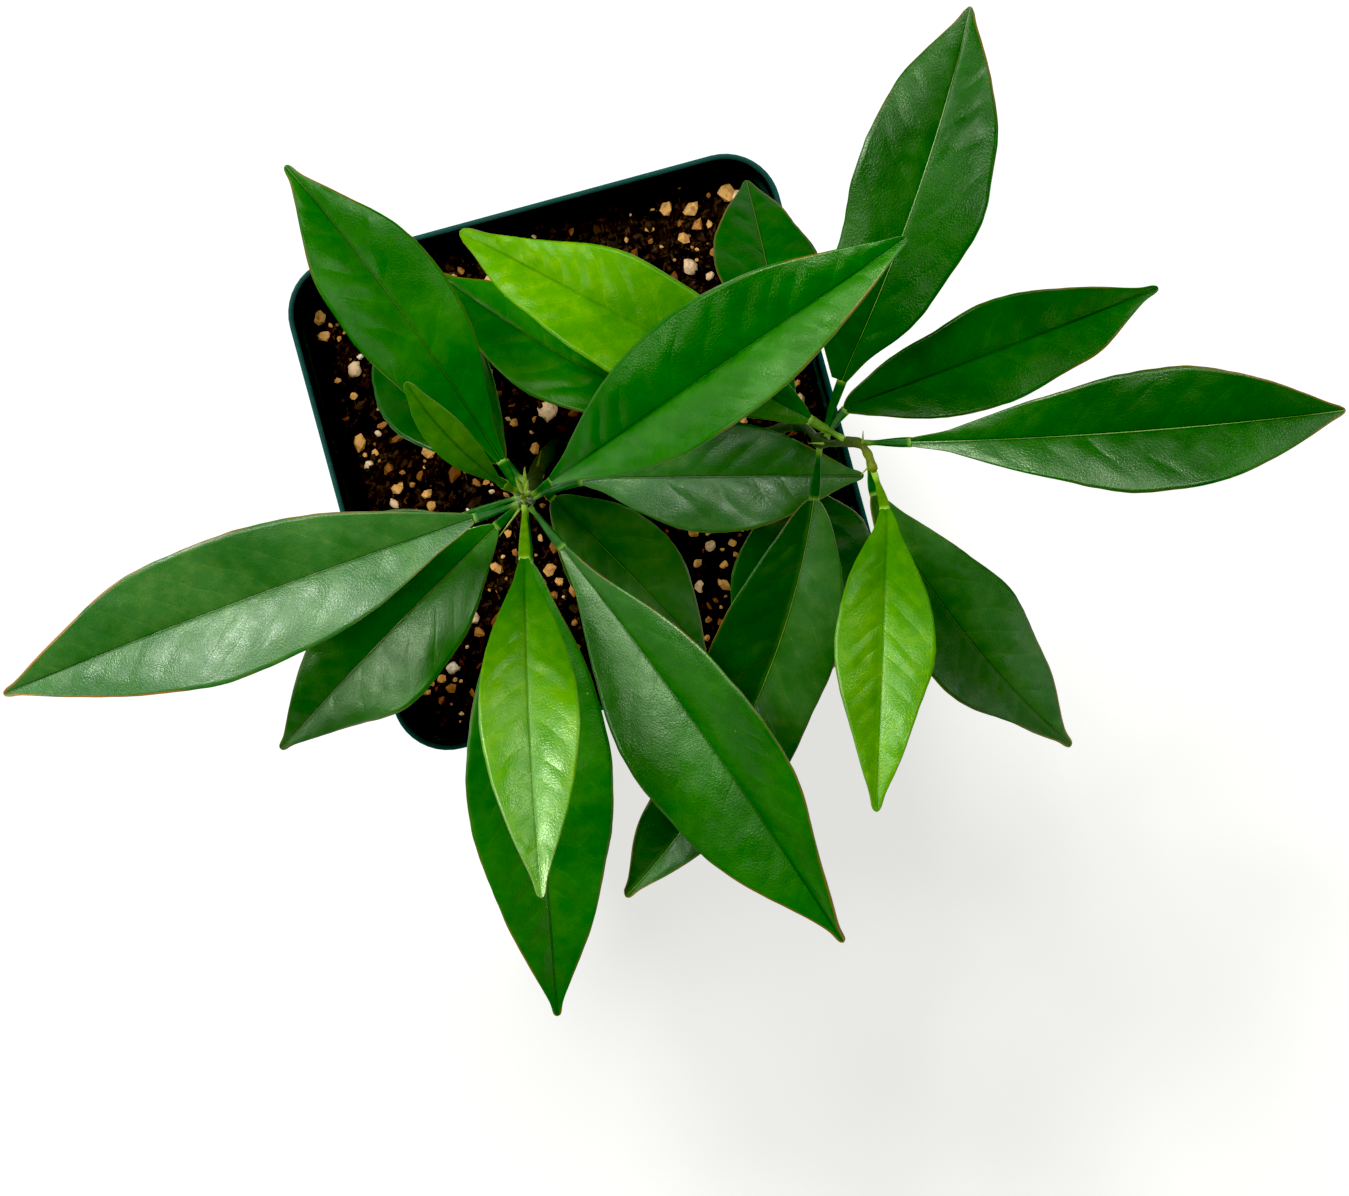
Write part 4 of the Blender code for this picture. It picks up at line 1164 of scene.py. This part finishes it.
# Bracts round the bud: bearing, rise, length
bracts = [(72, 18, 0.0056), (58, 36, 0.0042), (98, 30, 0.0046), (-110, 55, 0.0030), (190, 70, 0.0034),
          (20, 50, 0.0032)]
bractForm = {**spikeForm, "radii": (0.00030, 0.00004), "bulge": 0.00024, "flatness": 11 / 12, "bend": 0.25,
             "around": 10, "rows": 12, "brown": 0.25, "sink": 0.0008, "age": -0.2}
hairForm = {"count": 180, "length": (0.0006, 0.0017), "radius": 0.000045, "taper": 0.6, "depth": 0.0050,
            "above": 0.0012, "crowding": 1.2, "foot": 0.7, "rise": (10, 80), "curl": (-0.4, 0.5), "age": -1.0,
            "seed": 5}
stemLook = {
    "hair": (0.420, 0.500, 0.300),
    "bud": (0.220, 0.340, 0.040),
    "young": (0.150, 0.185, 0.010),
    "green": (0.018, 0.050, 0.003),
    "old": (0.024, 0.040, 0.006),
    "cork": (0.034, 0.040, 0.014),
    "tip": (0.080, 0.026, 0.008),
    "specular": 0.22,
}


def addAges(piece, age, brownTip=0.0):
    addAttribute(piece, "barkAge", age)
    addAttribute(piece, "brownTip", brownTip)


def makeShoot(shoot, nodes):
    form = stemForm
    route, thickness = shoot["route"], shoot["thickness"]
    last = len(route) - 1
    roughness, roughHigh = form["bark"]
    ages = []

    def placeAt(across, along):
        row = round(along * (last + 2))
        place = min(max(row - 1, 0), last)
        point = route[place]
        tangent = (route[min(place + 1, last)] - route[max(place - 1, 0)]).normalized()
        side = tangent.cross(Vector((0, 1, 0))).normalized()
        front = side.cross(tangent)
        angle = -math.tau * across
        out = side * math.cos(angle) + front * math.sin(angle)
        radius = thickness[place]
        for node in nodes:
            near = point.z - node["height"]
            facing = max(out.dot(heading(node["bearing"], 0)), 0) ** 2
            radius += form["nodeSwell"] * hump(near, form["nodeLength"])
            radius += form["cushion"] * facing * hump(near + form["cushionDrop"], form["cushionLength"])
            if -form["ridgeLength"] < near < 0:
                radius += form["ridge"] * facing ** 6
        spot = out * form["barkSpread"][0] + Vector((0, 0, point.z * form["barkSpread"][1]))
        radius += roughHigh * noise.noise(spot * roughness)
        if row in (0, last + 2):
            radius = 0
        ages.append(between(shoot["age"], (place / last) ** form["youngTop"]))
        return point + out * radius

    tube = shapedGrid("shoot", form["around"], last + 2, placeAt)
    addAges(tube, ages)
    mergeCorners(tube)
    return tube


def makeSpike(form, foot, ahead, length, age):
    # a thorn or a bract: round or flattened, bent upwards and brown towards its tip
    side = ahead.cross(Vector((0, 0, 1))).normalized()
    up = side.cross(ahead)
    rows = form["rows"]
    brownness = []

    def placeAt(across, along):
        row = round(along * (rows + 1))
        share = min(row / rows, 1.0)
        radius = between(form["radii"], share ** form["taper"]) + form["bulge"] * math.sin(math.pi * share)
        if row in (0, rows + 1):
            radius = 0
        angle = -math.tau * across
        brownness.append(form["brown"] * smoothStep((share - form["brownFrom"]) / form["brownOver"]))
        point = foot + ahead * (length * share) + up * (form["bend"] * length * share * share)
        return point + side * (radius * math.cos(angle)) + up * (radius * form["flatness"] * math.sin(angle))

    spike = shapedGrid("spike", form["around"], rows + 1, placeAt)
    addAges(spike, age, brownness)
    mergeCorners(spike)
    return spike


def makeHair(foot, ahead, length, curl):
    side = ahead.cross(Vector((0.3, 0.2, 1))).normalized()
    up = side.cross(ahead)

    def placeAt(across, along):
        angle = -math.tau * across
        thin = hairForm["radius"] * (1 - along) ** hairForm["taper"]
        return (foot + ahead * (length * along) + up * (curl * length * along * along)
                + side * (thin * math.cos(angle)) + up * (thin * math.sin(angle)))

    hair = shapedGrid("hair", 3, 4, placeAt)
    addAges(hair, hairForm["age"])
    return hair


def makeStem():
    pieces = []
    for shootName, shoot in shoots.items():
        nodes = [leaf for leafName, leaf in leaves.items() if leafName.startswith(shootName)]
        pieces.append(makeShoot(shoot, nodes))
    sink = thornForm["sink"]
    for shootName, height, bearing, rise, length in thorns:
        foot = besideShoot(shoots[shootName], height, bearing, -sink)
        age = thornForm["ages"][height > thornForm["youngAbove"]]
        pieces.append(makeSpike(thornForm, foot, heading(bearing, rise), length + sink, age))
    shoot = shoots["main"]
    top = shoot["route"][-1] - Vector((0, 0, bractForm["sink"]))
    for bearing, rise, length in bracts:
        pieces.append(makeSpike(bractForm, top, heading(bearing, rise), length, bractForm["age"]))
    # short hairs round the bud
    draw = random.Random(hairForm["seed"])
    for count in range(hairForm["count"]):
        height = top.z + hairForm["above"] - draw.random() ** hairForm["crowding"] * hairForm["depth"]
        bearing = draw.uniform(0, 360)
        near = nearestOn(shoot, min(height, top.z))
        foot = shoot["route"][near] + heading(bearing, 0) * shoot["thickness"][near] * hairForm["foot"]
        foot.z = height
        rise, length, curl = (draw.uniform(*hairForm[part]) for part in ("rise", "length", "curl"))
        pieces.append(makeHair(foot, heading(bearing, rise), length, curl))
    stem = joinPieces(pieces, "kumquatStem")
    mergeCorners(stem, 1e-8)
    bpy.ops.object.shade_smooth()
    coat(stem, makeStemBark())
    finish(stem, "stem_bark", "stem")


def makeStemBark():
    look = stemLook
    mix = startMix("stemBarkLook", rgba(look["young"]))
    age = attribute(mix, "barkAge")
    for colour, start, end in (("green", 0.05, 0.45), ("old", 0.5, 0.95), ("bud", -0.05, -0.15),
                               ("hair", -0.4, -0.8)):
        lay(mix, rgba(look[colour]), fade(mix, age, start, end))
    # cork streaks and small pale pores on the older wood
    streak = fade(mix, noiseOf(mix, 1400, 3, 0.6, drawnOut(mix, (1, 1, 0.16))), 0.52, 0.66)
    old = fade(mix, age, 0.15, 0.9)
    lay(mix, rgba(look["cork"]), streak, old, 0.7)
    lay(mix, rgba(look["cork"], 1.4), specksOf(mix, 620, (0.10, 0.16)), old, 0.8)
    tint(mix, rgba((0.62, 0.72, 0.6)), fade(mix, noiseOf(mix, 480, 3), 0.35, 0.65), 0.6)
    lay(mix, rgba(look["tip"]), attribute(mix, "brownTip"))
    addBump(mix, streak, 0.00008, 0.7)
    addBump(mix, noiseOf(mix, 2600, 3), 0.00005, 0.6)
    rough = fade(mix, age, 0.0, 1.0, 0.40, 0.80)
    return finishMix(mix, {"Roughness": rough, "Specular IOR Level": look["specular"]})


makeStem()
print("stem made with", len(thorns), "thorns and its bud")
